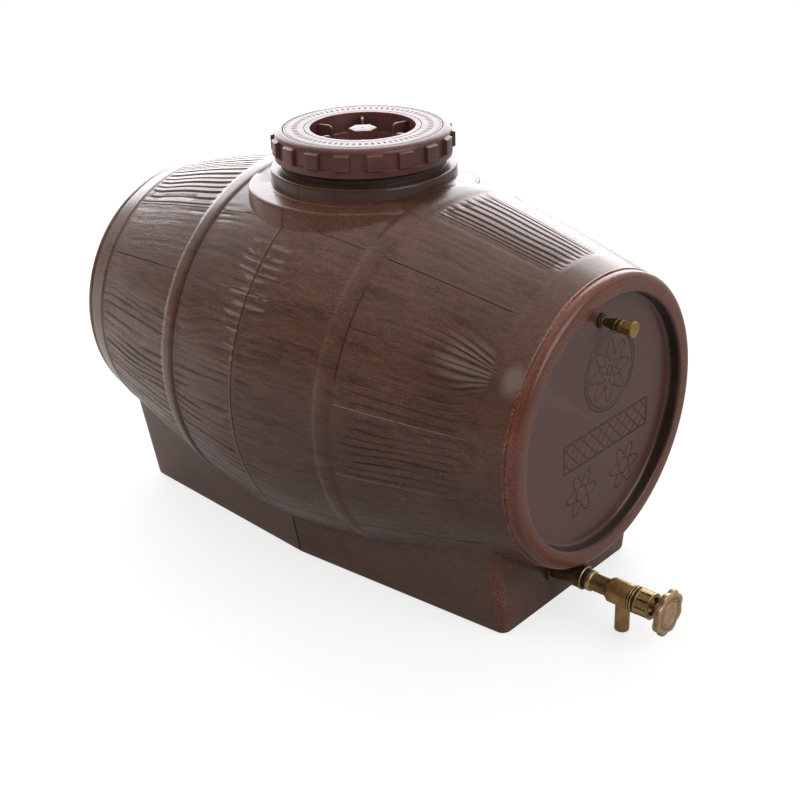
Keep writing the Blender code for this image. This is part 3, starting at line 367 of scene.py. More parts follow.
def carry(mesh, name, values):
    """Stores one number per face corner on a mesh."""
    mesh.attributes.new(name, "FLOAT", "CORNER").data.foreach_set("value", values.astype(np.float32))


def carved(name, solid, steps, marks=None):
    """Solid with other solids added or cut away, one after another, as one closed mesh. A step gives the
    other solid as a surface or as an object. marks are values that the solid's points carry through the
    cuts, by name, and a step's third item is the value of "outside" that its faces bring."""
    obj = placed(name, mesh_of(name, solid))
    for mark, values in (marks or {}).items():
        carry(obj.data, mark, values[corner_points(obj.data)])
    tools = []
    for number, (operation, shape, *outside) in enumerate(steps):
        tool_name = f"{name}_{number}"
        tool = shape if isinstance(shape, bpy.types.Object) else placed(tool_name, mesh_of(tool_name, shape))
        if outside:
            carry(tool.data, "outside", np.full(len(tool.data.loops), outside[0]))
        cut = obj.modifiers.new(tool.name, "BOOLEAN")
        cut.operation = operation
        cut.solver = "MANIFOLD"
        cut.object = tool
        tools.append(tool)
    bpy.context.view_layer.update()
    mesh = bpy.data.meshes.new_from_object(obj.evaluated_get(bpy.context.evaluated_depsgraph_get()))
    if len(mesh.polygons) < 8:
        raise RuntimeError(f"{name} came out empty")
    obj.modifiers.clear()
    obj.data = mesh
    mesh.name = name
    for tool in tools:
        bpy.data.objects.remove(tool, do_unlink=True)
    return obj


def settle(obj, finish, body, nodes=(), sharp=32):
    """Gives a piece its material, smooth shading with sharp edges and its body, and hides the CAD nodes
    it stands for."""
    obj.data.materials.clear()
    obj.data.materials.append(finish)
    obj.data.shade_smooth()
    obj.data.set_sharp_from_angle(angle=math.radians(sharp))
    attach(obj, body)
    if nodes:
        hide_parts(*nodes)


def make_piece(name, shape, finish, body, nodes, sharp=32):
    """A settled piece of a surface."""
    settle(placed(name, mesh_of(name, shape)), finish, body, nodes, sharp)


# Materials

# Tones of the moulded plastic, as linear red, green and blue
STREAK = (0.030, 0.014, 0.010)
RIM_RED = (0.105, 0.034, 0.022)
SPECK_RED = (0.40, 0.080, 0.036)
# Painted shade for the mouths' walls
MOUTH_SHADE = (0.018, 0.009, 0.007)
# Painted shade for the collar and the neck under the lid's ring
NECK_SHADE = (0.016, 0.008, 0.006)
# Painted shade for the grain's valleys
VALLEY_SHADE = (0.026, 0.013, 0.010)
# Painted highlight for the rear hoop's foot
HOOP_HIGHLIGHT = (0.36, 0.29, 0.255)
# Painted shade for the hoops' feet
HOOP_FOOT_SHADE = (0.020, 0.010, 0.008)
SEAM_DARK = (0.018, 0.010, 0.008)
GAP_DARK = (0.020, 0.011, 0.009)
# Painted highlight for the low gaps
GAP_HIGHLIGHT = (0.30, 0.22, 0.18)
HEAD_BROWN = (0.078, 0.033, 0.029)
BAND_RED = (0.100, 0.034, 0.022)
ENGRAVED = (0.022, 0.009, 0.008)
SCUFF = (0.20, 0.09, 0.07)
# Dark of the engraved ticks, and painted shade for the lid's gap and groove
TICK_DARK_AND_GROOVE_SHADE = (0.014, 0.007, 0.008)

# Tones of the fittings
ORANGE_CAST = (0.42, 0.17, 0.05)
TARNISHED = (0.05, 0.03, 0.012)
WORN = (0.62, 0.52, 0.28)
RUBBER = (0.012, 0.011, 0.010)
RED_RUBBER = (0.020, 0.006, 0.005)
DUST = (0.05, 0.045, 0.04)
STEEL, PALE_STEEL = (0.38, 0.37, 0.35), (0.5, 0.49, 0.47)


def toned(colour, share):
    """A colour made darker or brighter by a share."""
    return tuple(share * c for c in colour)


class Finish:
    """A node tree with short ways to add nodes to it, and the colour painted so far. Pass tree for a
    world."""

    def __init__(self, name, colour=None, tree=None):
        if tree is None:
            self.material = bpy.data.materials.new(name)
            self.material.use_nodes = True
            tree = self.material.node_tree
            self.shader = tree.nodes["Principled BSDF"]
        self.tree = tree
        self.colour = colour
        self.coords = self.add("ShaderNodeTexCoord")
        self.place = self.coords.outputs["Object"]

    def add(self, kind, inputs=(), **settings):
        node = self.tree.nodes.new(kind)
        for key, value in settings.items():
            setattr(node, key, value)
        for key, value in dict(inputs).items():
            self.feed(node.inputs[key], value)
        return node

    def feed(self, socket, value):
        if isinstance(value, bpy.types.NodeSocket):
            self.tree.links.new(value, socket)
        elif socket.type == "RGBA":
            socket.default_value = (*value, 1.0)
        else:
            socket.default_value = value

    def math(self, operation, first, *others):
        """The operation on the first value and each other one in turn."""
        for other in others or (0.0,):
            first = self.add("ShaderNodeMath", {0: first, 1: other}, operation=operation).outputs[0]
        return first

    def times(self, first, *others):
        return self.math("MULTIPLY", first, *others) if others else first

    def plus(self, *values):
        return self.math("ADD", *values)

    def less(self, first, second):
        return self.math("SUBTRACT", first, second)

    def most(self, *values):
        return self.math("MAXIMUM", *values)

    def size(self, value):
        return self.math("ABSOLUTE", value)

    def span(self, value, low, high, to_low=0.0, to_high=1.0):
        """Smooth step from to_low, where value is low, to to_high, where it's high."""
        ends = {"Value": value, "From Min": low, "From Max": high, "To Min": to_low, "To Max": to_high}
        return self.add("ShaderNodeMapRange", ends, interpolation_type="SMOOTHSTEP").outputs["Result"]

    def fade(self, value, low, high):
        return self.span(value, low, high, 1.0, 0.0)

    def inside(self, value, low, high, soft=0.0006):
        """One where value is from low to high."""
        return self.times(self.span(value, low - soft, low), self.fade(value, high, high + soft))

    def line(self, value, place, half):
        """One on a line where value is at place: full to 0.45 of half, and nothing past half."""
        return self.fade(self.size(self.less(value, place)), half * 0.45, half)

    def oval(self, *axes):
        """Distance from an oval's middle, one on its edge, from (value, middle, reach) along each axis."""
        squares = []
        for value, middle, reach in axes:
            off = self.math("DIVIDE", self.less(value, middle), reach)
            squares.append(self.times(off, off))
        return self.math("SQRT", self.plus(*squares))

    def polar(self, first, second, first_centre=0.0, second_centre=0.0):
        """Distance and angle from a centre, in the plane of two coordinates."""
        across, up = self.less(first, first_centre), self.less(second, second_centre)
        squares = self.plus(self.times(across, across), self.times(up, up))
        return self.math("SQRT", squares), self.math("ARCTAN2", up, across)

    def noise(self, scale, detail=2.0, roughness=0.55, squeeze=1.0, place=None):
        """Noise of a place, or of the piece's own coordinates with X squeezed, which draws it out along
        X."""
        if place is None:
            mapping = {"Vector": self.place, "Scale": (squeeze, 1.0, 1.0)}
            place = self.place if squeeze == 1.0 else self.add("ShaderNodeMapping", mapping).outputs["Vector"]
        inputs = {"Vector": place, "Scale": scale, "Detail": detail, "Roughness": roughness}
        return self.add("ShaderNodeTexNoise", inputs).outputs["Fac"]

    def pair(self, first, second):
        return self.add("ShaderNodeCombineXYZ", {"X": first, "Y": second}).outputs[0]

    def mix(self, share, first, second):
        node = self.add("ShaderNodeMix", data_type="RGBA")
        for key, value in (("Factor", share), (6, first), (7, second)):
            self.feed(node.inputs[key], value)
        return node.outputs[2]

    def paint(self, tone, *shares):
        """Lays a tone over the colour painted so far, as strongly as the product of the shares."""
        self.colour = self.mix(self.times(*shares), self.colour, tone)

    def carried(self, name):
        return self.add("ShaderNodeAttribute", attribute_name=name).outputs["Fac"]

    def axes(self):
        split = self.add("ShaderNodeSeparateXYZ", {"Vector": self.place})
        return split.outputs["X"], split.outputs["Y"], split.outputs["Z"]

    def set(self, **inputs):
        for key, value in inputs.items():
            self.feed(self.shader.inputs[key.replace("_", " ")], value)

    def finished(self, roughness, height, **inputs):
        """The material, with its painted colour and a relief whose height is in millimetres."""
        bump = self.add("ShaderNodeBump", {"Height": height, "Strength": 1.0, "Distance": 0.001})
        self.set(Base_Color=self.colour, Roughness=roughness, Normal=bump.outputs["Normal"], **inputs)
        return self.material


def rosette(f, polar, petals, radius, reach):
    """Distance outside a rosette's line, which lies at radius plus reach times the cosine of petals
    angles."""
    away, angle = polar
    return f.less(away, f.plus(radius, f.times(f.math("COSINE", f.times(angle, petals)), reach)))


def head_ornament(f, x, y, z):
    """A plain engraved ornament on the front head: a double ring round two rosettes and a small ring, a
    lattice band of crossed lines, and two small rosettes under it. Gives its lines and its rough grounds."""
    on_head = f.span(x, 0.2850, 0.2860)
    polar = f.polar(y, z, 0.018, 0.2460)
    rings = ((0.0405, 0.0012), (0.0368, 0.0009), (0.0045, 0.0012))
    marks = [*(f.line(polar[0], radius, half) for radius, half in rings),
             f.line(rosette(f, polar, 8.0, 0.0250, 0.0072), 0.0, 0.0013),
             f.line(rosette(f, polar, 8.0, 0.0145, -0.0050), 0.0, 0.0012)]
    ends_y, ends_z, half, mesh = (-0.052, 0.086), (0.1640, 0.1930), 0.0012, 0.0072
    frame_y, frame_z = f.inside(y, *ends_y), f.inside(z, *ends_z)
    rough = f.times(frame_y, frame_z)
    for crossing in (f.plus(y, z, 1.0), f.plus(f.less(y, z), 1.0)):
        marks.append(f.times(rough, f.line(f.math("PINGPONG", crossing, mesh), 0.0, half)))
    marks += [f.times(frame_y, f.line(z, end, half)) for end in ends_z]
    marks += [f.times(frame_z, f.line(y, end, half)) for end in ends_y]
    for centre_y in (-0.022, 0.050):
        polar = f.polar(y, z, centre_y, 0.1320)
        petals = rosette(f, polar, 6.0, 0.0180, 0.0058)
        marks += [f.line(petals, 0.0, 0.0013), f.line(polar[0], 0.0085, 0.0012)]
        rough = f.most(rough, f.fade(petals, -0.001, 0.0))
    return f.times(f.most(*marks), on_head), f.times(rough, on_head)


def barrel_finish(look):
    """Satin brown plastic with fine wood grain on the staves, rusty specks and an engraved ornament on the
    front head. Painted highlights lie on the rubbed ridges by the parting line, on the ridges of the front
    swirl, on the front band, along the rear hoop's foot and on the low gaps, and painted shade lies in the
    mouths, on the collar and neck under the lid, in the grain's valleys and along the hoops' feet. The fine
    grain creases the surface where a noise of the place along the barrel and of the carried groove number
    passes its middle value."""
    f = Finish("moulded_brown_plastic", look.brown)
    x, y, z = f.axes()
    far = f.size(x)
    number, stave, edge, gap = (f.carried(name) for name in ("grain", "stave", "edge", "gap"))
    wholes = ("outside", "head", "barrel")
    outside, on_head, on_barrel = (f.span(f.carried(name), 0.4, 0.6) for name in wholes)
    from_axis, round_axis = f.polar(y, z, 0.0, AXIS_Z)
    broad = f.noise(9.0, 3.0, 0.6)
    patch = f.noise(26.0, 3.0, 0.6, 0.5)
    streak = f.noise(320.0, 3.0, 0.65, 0.12)
    shade = f.noise(95.0, 3.0, 0.6, 0.10)
    rust_streak = f.noise(620.0, 3.0, 0.7, 0.16)
    fleck = f.noise(800.0, 2.0, 0.7)
    tooth = f.noise(260.0, 2.0)
    lines = f.noise(1.0, 4.0, 0.65, place=f.pair(f.times(x, 11.0), f.times(number, 1.9)))
    crease = f.span(f.size(f.less(lines, 0.5)), 0.0, 0.055)

    # Mottled ground, streaks and specks
    f.paint(look.dark, f.span(patch, 0.35, 0.68), 0.40)
    f.paint(look.dark, f.span(streak, 0.48, 0.66), 0.40)
    f.paint(STREAK, f.span(shade, 0.50, 0.66), on_barrel, f.span(x, 0.262, 0.268, 0.55, 0.0))
    f.paint(look.rust, f.span(rust_streak, 0.50, 0.68), f.span(broad, 0.36, 0.62, 0.16, 0.46),
            f.span(x, -0.16, 0.02, 0.45, 1.0))
    f.paint(look.pale_fleck_and_highlight, f.span(fleck, 0.57, 0.70), f.span(patch, 0.4, 0.6, 0.45, 0.12))

    # Rims, with painted shade in the mouths and on the collar and neck under the lid
    f.paint(RIM_RED, f.span(far, 0.2890, 0.2900), edge, f.span(x, -0.1, 0.1, 0.10, 0.55))
    on_rim = f.times(f.most(f.span(x, 0.27, 0.285, 0.15, 1.0), f.fade(z, 0.10, 0.12)),
                     f.span(far, 0.2955, 0.2990, 1.0, 0.55))
    f.paint(SPECK_RED, edge, on_rim, f.span(f.noise(700.0, 3.0, 0.75), 0.53, 0.61),
            f.span(broad, 0.42, 0.60, 0.42, 0.95))
    f.paint(SPECK_RED, f.line(far, 0.2893, 0.0018), f.span(from_axis, 0.138, 0.141),
            f.span(rust_streak, 0.46, 0.58), f.span(patch, 0.42, 0.56, 0.25, 0.85), outside)
    # Painted shade on the mouths' walls and the fillets into them
    f.paint(MOUTH_SHADE, f.span(from_axis, 0.1185, 0.1215), f.fade(from_axis, 0.1262, 0.1275),
            f.span(far, 0.2880, 0.2890), 0.80)
    # Painted shade under the lid's ring: the collar darker, and the neck above it darker still
    above = f.span(z, 0.4000, 0.4004)
    f.paint(NECK_SHADE, f.plus(f.times(f.span(z, 0.3850, 0.3880), 0.62), f.times(above, 0.28)))
    f.paint(look.dark, f.less(1.0, crease), stave, 0.30)

    # Painted highlights: pale dashes on the rubbed ridges by the parting line, on the ridges of the front swirl
    # and on the front band; and painted shade in the valleys
    reach = f.span(f.noise(1.0, 1.0, place=f.pair(3.7, f.times(number, 2.3))), 0.38, 0.62, 0.004, 0.026)
    rear_highlight_dashes = f.times(f.span(f.plus(x, reach), -0.003, 0.003), f.fade(x, 0.0, 0.0005),
                          f.inside(z, 0.246, 0.345, 0.012))
    front_highlight_dashes = f.times(f.span(f.less(reach, x), -0.003, 0.003), f.span(x, 0.001, 0.002),
                           f.inside(z, 0.300, 0.348, 0.010), 0.8)
    between = f.math("PINGPONG", number, 0.5)
    f.paint(look.pale_fleck_and_highlight, f.plus(rear_highlight_dashes, front_highlight_dashes), on_barrel,
            f.span(f.noise(200.0, 2.0, 0.6, 0.35), 0.40, 0.52), f.span(between, 0.30, 0.38), 0.62)
    # Painted highlight on the ridges of the front swirl
    f.paint(look.pale_fleck_and_highlight, f.fade(f.oval((x, 0.240, 0.036), (round_axis, 2.53, 0.17)), 0.35, 1.1),
            f.span(between, 0.20, 0.40), f.span(stave, 0.2, 0.4), 0.45)
    # Painted highlight on the front band
    f.paint(look.pale_fleck_and_highlight, f.span(f.oval((x, 0.2810, 0.0115), (round_axis, 2.54, 0.115)), 0.3, 1.2, 0.50, 0.0),
            on_barrel)
    # Painted shade in the valleys of the grain
    f.paint(VALLEY_SHADE, f.fade(between, 0.03, 0.16), f.span(stave, 0.1, 0.6), 0.70)

    # Painted highlight and painted shade along the hoops' feet, the parting line, and the gaps between the
    # staves, with a painted highlight on the low gaps
    # Painted highlight: a pale jagged line along the rear hoop's outer foot, in patches, weaker on the +Y side
    # and none near the top
    highlight_patches = f.times(f.span(f.noise(170.0, 2.0), 0.42, 0.48), f.fade(z, 0.32, 0.37), on_barrel,
                     f.span(y, -0.05, 0.03, 1.0, 0.30))
    toothed = f.plus(x, f.times(f.less(tooth, 0.5), 0.0040))
    f.paint(HOOP_HIGHLIGHT, f.line(toothed, -HOOP_X - HOOP_HALF - 0.0012, 0.0014), highlight_patches, 0.60)
    # Painted shade along the rear hoop's inner foot, and on the sides along the front hoop's outer foot
    f.paint(HOOP_FOOT_SHADE, f.line(x, -HOOP_X + HOOP_HALF + 0.0008, 0.0016), on_barrel, 0.55)
    f.paint(HOOP_FOOT_SHADE, f.line(x, HOOP_X + HOOP_HALF + 0.0012, 0.0013), on_barrel,
            f.inside(z, 0.262, 0.330, 0.01), 0.7)
    ragged = f.plus(x, f.times(f.less(f.noise(420.0, 3.0), 0.5), 0.0030))
    seam = f.most(f.line(ragged, 0.0003, 0.0006), f.times(f.line(x, 0.0, 0.0015), f.fade(z, 0.100, 0.115)))
    f.paint(SEAM_DARK, seam, outside, 0.85)
    low_gap = f.fade(z, 0.262, 0.280)
    f.paint(GAP_DARK, gap, f.less(1.0, low_gap), 0.55)
    # On the low gaps, a painted highlight above 0.13 m height, turning into the dark joint below 0.115 m
    f.paint(f.mix(f.span(z, 0.115, 0.130), GAP_DARK, GAP_HIGHLIGHT), f.span(gap, 0.08, 0.2), low_gap, 0.85)

    # Heads and ornament
    marked, rough = head_ornament(f, x, y, z)
    f.paint(HEAD_BROWN, on_head, 0.75)
    f.paint(BAND_RED, rough, 0.55)
    f.paint(ENGRAVED, marked, 0.70)

    calm = f.times(f.span(z, 0.318, 0.358, 1.0, 0.25), f.span(x, -0.268, -0.262, 0.15, 1.0))
    grain = f.times(crease, f.plus(f.times(stave, 0.10), 0.05), f.fade(far, 0.2840, 0.2870))
    fine = f.times(f.plus(grain, f.times(streak, 0.06), f.times(fleck, 0.02)), calm)
    height = f.plus(fine, f.times(broad, 0.5), f.times(marked, -0.50), f.times(rough, tooth, 0.5),
                    f.times(seam, outside, -0.45))
    roughness = f.plus(f.times(streak, 0.14), f.times(fleck, 0.10), f.times(above, 0.25), 0.13)
    return f.finished(roughness, height, Specular_IOR_Level=0.38)


def lid_finish(look):
    """Glossier reddish-brown plastic with fine scuffs, an even ring of short engraved ticks on the annulus,
    and painted shade in the gap by the ring and in the disc's turned groove."""
    ticks_around = 72
    f = Finish("lid_brown_plastic", look.colour)
    x, y, z = f.axes()
    patch, scuff = f.noise(40.0, 3.0, 0.6), f.noise(900.0, 2.0, 0.7)
    away, angle = f.polar(x, y)
    tick = f.math("PINGPONG", f.times(f.plus(angle, 4.0), ticks_around / (2 * math.pi)), 0.5)
    ticks = f.times(f.fade(tick, 0.13, 0.18), f.inside(away, 0.0655, 0.0700), f.span(z, 0.4360, 0.4364))
    # Painted shade in the gap between the disc and the ring and in the disc's turned groove
    rings = f.times(f.most(f.line(away, 0.0794, 0.0011), f.line(away, 0.0583, 0.0008)),
                    f.span(z, 0.4350, 0.4360))
    f.paint(toned(look.colour, 0.7), f.span(patch, 0.35, 0.7))
    f.paint(SCUFF, f.span(scuff, 0.60, 0.72), 0.25)
    f.paint(TICK_DARK_AND_GROOVE_SHADE, f.most(f.times(ticks, 0.9), f.times(rings, 0.95)))
    roughness = f.plus(f.times(patch, 0.10), f.times(scuff, 0.06), f.times(ticks, 0.5), 0.26)
    height = f.plus(f.times(scuff, 0.03), f.times(patch, 0.10), f.times(ticks, -0.6))
    return f.finished(roughness, height, Specular_IOR_Level=0.40)


def metal_finish(name, colour, roughness, tarnish=0.5, orange=0.3, wear=()):
    """Bronzed brass: a metal whose tarnish darkens it in patches, with an orange cast where it is rubbed.
    wear adds rings of another tone along or round the tap's axis: each a place along it, a distance from
    it, both from low to high, a tone and its share."""
    f = Finish(name, colour)
    patch, fine = f.noise(120.0, 3.0, 0.6), f.noise(1400.0, 2.0, 0.6)
    f.paint(toned(colour, 0.35), f.span(patch, 0.38, 0.68), tarnish)
    f.paint(ORANGE_CAST, f.span(f.noise(210.0, 2.0, 0.5), 0.52, 0.70), orange)
    x, y, z = f.axes()
    from_axis, _ = f.polar(y, z, *TAP_AXIS[1:])
    for low_x, high_x, low, high, tone, share in wear:
        f.paint(tone, f.inside(x, low_x, high_x, 0.0002), f.inside(from_axis, low, high, 0.0002), share)
    roughness = f.plus(f.times(patch, 0.16), f.times(fine, 0.08), roughness - 0.12)
    return f.finished(roughness, f.plus(f.times(fine, 0.015), f.times(patch, 0.05)), Metallic=0.85)


def rubber_finish(name="black_rubber_washers", tone=RUBBER):
    """Matt black rubber with a dusty bloom."""
    f = Finish(name, tone)
    dust = f.noise(500.0, 3.0, 0.7)
    f.paint(DUST, f.span(dust, 0.5, 0.75))
    return f.finished(f.plus(f.times(dust, 0.2), 0.5), f.times(dust, 0.04))


def steel_finish():
    """Plain turned steel."""
    f = Finish("screw_steel_bright", STEEL)
    fine = f.noise(1500.0, 2.0, 0.6)
    f.paint(PALE_STEEL, fine)
    return f.finished(f.plus(f.times(fine, 0.1), 0.28), f.times(fine, 0.02), Metallic=1.0)


# Barrel moulding


def stave_radius(x):
    """Radius of the staves' surface: the belly's radius less a drop that grows with the distance from the
    middle, to the power of one and a half."""
    return BELLY_RADIUS - (BELLY_RADIUS - STAVE_END_RADIUS) * (np.abs(x) / STAVE_END_X) ** BULGE_POWER


def half_profile(step):
    """Half of the barrel's outline, from a head's middle to the parting line. Past the staves' end, the
    band stands higher over a smooth step, three times the square less twice the cube of the share."""
    band_x = np.concatenate([np.linspace(BAND_END_X - 0.0015, STAVE_END_X + 0.0050, 4),
                             np.linspace(STAVE_END_X + 0.0030, STAVE_END_X - 0.0030, 5)])
    share = ramp(band_x - STAVE_END_X + 0.0030, 0.0050)
    band = np.stack([stave_radius(band_x) + step * share * share * (3 - 2 * share), band_x], 1)
    stave_x = np.concatenate([np.linspace(STAVE_END_X - 0.0045, 0.1300, 19), np.linspace(0.1278, 0.0945, 18),
                              np.linspace(0.0900, 0.0060, 12), [0.0032, 0.0014, 0.0006, 0.0]])
    back = [(RIM_RADIUS, RIM_SHOULDER_X), (RIM_RADIUS, RIM_BACK_X + 0.0002, 0.0008),
            (RIM_RADIUS - 0.0012, BAND_END_X + 0.001, 0.0005), (RIM_RADIUS + 0.0012, BAND_END_X, 0.0010),
            tuple(band[0])]
    return np.concatenate([
        [(0, HEAD_X), (0.04, HEAD_X), (0.08, HEAD_X)],
        arc(MOUTH_RADIUS - 0.004, HEAD_X + 0.004, 0.004, -90, 0, 4),
        arc(MOUTH_RADIUS + 0.0035, RIM_NOSE_X - 0.0035, 0.0035, 180, 90, 4),
        arc(RIM_RADIUS - 0.0075, RIM_SHOULDER_X, 0.0075, 90, 0, 7, 0.0070),
        rounded(back, 3)[1:-1], band, np.stack([stave_radius(stave_x), stave_x], 1)])


def barrel_profile():
    """The barrel's outline: a half with a low step at the front band, and a mirrored one with a taller
    step at the rear."""
    return np.concatenate([half_profile(FRONT_BAND_STEP), half_profile(REAR_BAND_STEP)[::-1][1:] * (1, -1)])


def grain_columns(grooves):
    """Columns of the barrel's surface. A stave has one column on its gap, one beside it, three for each
    groove, which are its two edges and its valley, and one beside the next gap. Gives each column's
    stave, its share of the stave's width, how much of a gap and of a valley it is, and a number that
    grows by one from groove to groove."""
    draw = np.random.default_rng(11)
    widths = draw.uniform(0.6, 1.4, (STAVES, grooves))
    widths = 0.95 * widths / widths.sum(1, keepdims=True)
    valleys = 0.025 + np.cumsum(widths, 1) - widths / 2
    groups = valleys[..., None] + 0.23 * widths[..., None] * np.array([-1, 0, 1])
    ends = np.ones((STAVES, 1))
    share = np.concatenate([0 * ends, 0.0090 * ends, groups.reshape(STAVES, -1), 0.9910 * ends], 1)
    in_grooves = (np.arange(grooves)[:, None] + [-0.25, 0, 0.25]).ravel()
    local = np.concatenate([[-0.9, -0.7], in_grooves, [grooves - 0.3]])
    gap = np.tile(local == -0.9, STAVES)
    valley = np.tile((local == np.round(local)), STAVES)
    stave = np.repeat(np.arange(STAVES), share.shape[1])
    number = (np.arange(STAVES)[:, None] * (grooves + 1) + local).ravel()
    return stave, share.ravel(), gap * 1.0, valley * 1.0, number


# Places where the grain runs together (pull above zero) or round a knot (pull under zero): place along the
# barrel, angle from the top in degrees, reach along the barrel, reach in degrees, pull
SWIRLS = (
    (0.272, -56.3, 0.038, 13.0, 0.95), (-0.175, -65.0, 0.034, 6.0, -0.5), (-0.075, -66.0, 0.030, 6.5, -1.0),
    (-0.130, -92.0, 0.050, 9.0, 0.6), (0.055, -100.0, 0.034, 7.0, -1.1), (0.185, -101.0, 0.045, 8.0, -0.9),
    (-0.272, 56.3, 0.038, 13.0, 0.85), (0.200, 66.0, 0.040, 7.0, -1.2), (0.060, 45.0, 0.034, 7.0, -1.0),
    (-0.065, 88.0, 0.036, 7.5, -1.1), (0.240, 101.0, 0.050, 10.0, 0.6), (-0.215, 112.0, 0.040, 7.0, -1.1))


def grain_angles(x, stave, share):
    """Angle of each column at each place along the barrel: its share of the stave, moved by two slow
    waves that fade out at the gaps, then drawn toward or away from each swirl by pull times the distance
    times exp(-squares), less near the gaps."""
    step, far = 2 * math.pi / STAVES, np.abs(x)
    draw = np.random.default_rng(23)
    phases = draw.uniform(0, 2 * math.pi, (2, STAVES))[:, stave]
    from_gap = np.sin(math.pi * share)
    slow = 0.060 * np.sin(2 * math.pi * x / 0.35 + phases[0])
    wave = slow + 0.022 * np.sin(2 * math.pi * x / 0.12 + phases[1])
    angle = (stave + 0.5 + share + wave * from_gap * ramp(STAVE_END_X + 0.004 - far, 0.03)) * step
    angle = np.mod(angle + math.pi, 2 * math.pi) - math.pi
    place = angle
    for swirl_x, degrees, reach_x, reach, pull in SWIRLS:
        off = angle - math.radians(degrees)
        near = spot((x, swirl_x, reach_x), (off, 0.0, math.radians(reach)))
        place = place - pull * off * near * from_gap ** 0.7 * ramp(STAVE_END_X + 0.012 - far, 0.012)
    return place


def hoop_place(angle):
    """A hoop's middle along the barrel, its half width and its height. Within 50 degrees of the top it
    grows wider and lower, by the square of the share of the way, as it runs out into the plinth."""
    top = np.clip((np.cos(angle) - 0.64) / 0.36, 0, 1) ** 2
    return HOOP_X + 0.0035 * top, HOOP_HALF + 0.0005 + 0.0050 * top, HOOP_HEIGHT - 0.0006 * top


def grain_strength(x, angle):
    """How deep the grain is pressed, from 0 to 1. In the outer bays it is deep on the rear's top and low
    staves, on the front's very top and low side, and in the fans by the heads. Between the hoops it is
    shallow and grows by the parting line. It leaves the hoops, the bands and the plinth free, and the
    front's low grooves start and end raggedly, by a wave of the angle."""
    degrees, far = np.abs(np.degrees(angle)), np.abs(x)
    rear = 0.17 + 0.83 * eased(degrees, 38, 32) + 0.83 * eased(degrees, 66, 75)
    front = 0.17 + 0.83 * eased(degrees, 12, 7) + 0.42 * eased(degrees, 62, 76)
    front = front - 0.42 * eased(degrees, 96, 112)
    fan = spot((far, 0.236, 0.036), (degrees, 56.5, 9.5)) * np.where(x * angle < 0, 1, 0)
    outer = np.where(x < 0, rear, front) + 0.75 * fan
    inner = 0.12 + 0.35 * eased(degrees, 44, 30) + 0.12 * eased(degrees, 60, 80)
    inner = inner + 0.45 * spot((far, 0.0, 0.024))
    inner = inner + np.where(x < 0, 0.10 + 0.40 * eased(degrees, 74, 88), -0.16 * eased(degrees, 96, 108))
    hoop_x, half, _ = hoop_place(angle)
    loose = eased(degrees, 60, 66) * (x > hoop_x)
    ragged = 0.010 * loose * (0.5 + 0.5 * np.sin(97 * angle))
    clear = ramp(np.abs(far - hoop_x) - half - ragged, 0.004 + 0.010 * loose)
    end = STAVE_END_X - 0.0020 + 0.0045 * fan
    clear = clear * ramp(end - far - ragged, 0.006 - 0.003 * fan + 0.008 * loose)
    plinth = ramp(np.hypot(x, stave_radius(x) * np.sin(angle)) - PLINTH_RADIUS - 0.006, 0.02)
    plinth = np.where(degrees < 90, plinth, 1)
    seam = ramp(far - 0.0025, 0.004)
    return np.clip(np.where(far > hoop_x, outer, inner), 0, 1) * clear * seam * plinth


def stave_gaps(x, angle, gap, wave):
    """How deep each gap between the staves is, from 0 to 1: a wave along the barrel, shallower between
    the hoops and on the sides, nothing on the hoops and bands, and lost in the near fan of the grain."""
    far = np.abs(x)
    hoop_x, half, _ = hoop_place(angle)
    notch = gap * ramp(np.abs(far - hoop_x) - half, 0.003) * ramp(STAVE_END_X - 0.006 - far, 0.004)
    notch = notch * np.where(far < HOOP_X, 0.40 * ramp(far - 0.003, 0.003), 1.0)
    shallow = 0.7 * ramp(0.36 - np.cos(angle), 0.1) * ramp(0.5 + np.cos(angle), 0.1)
    notch = notch * np.clip(0.90 + 0.3 * wave, 0.60, 1) * (1 - shallow)
    return notch * (1 - spot((x, 0.20, 0.07), (np.degrees(angle), -56, 4)))


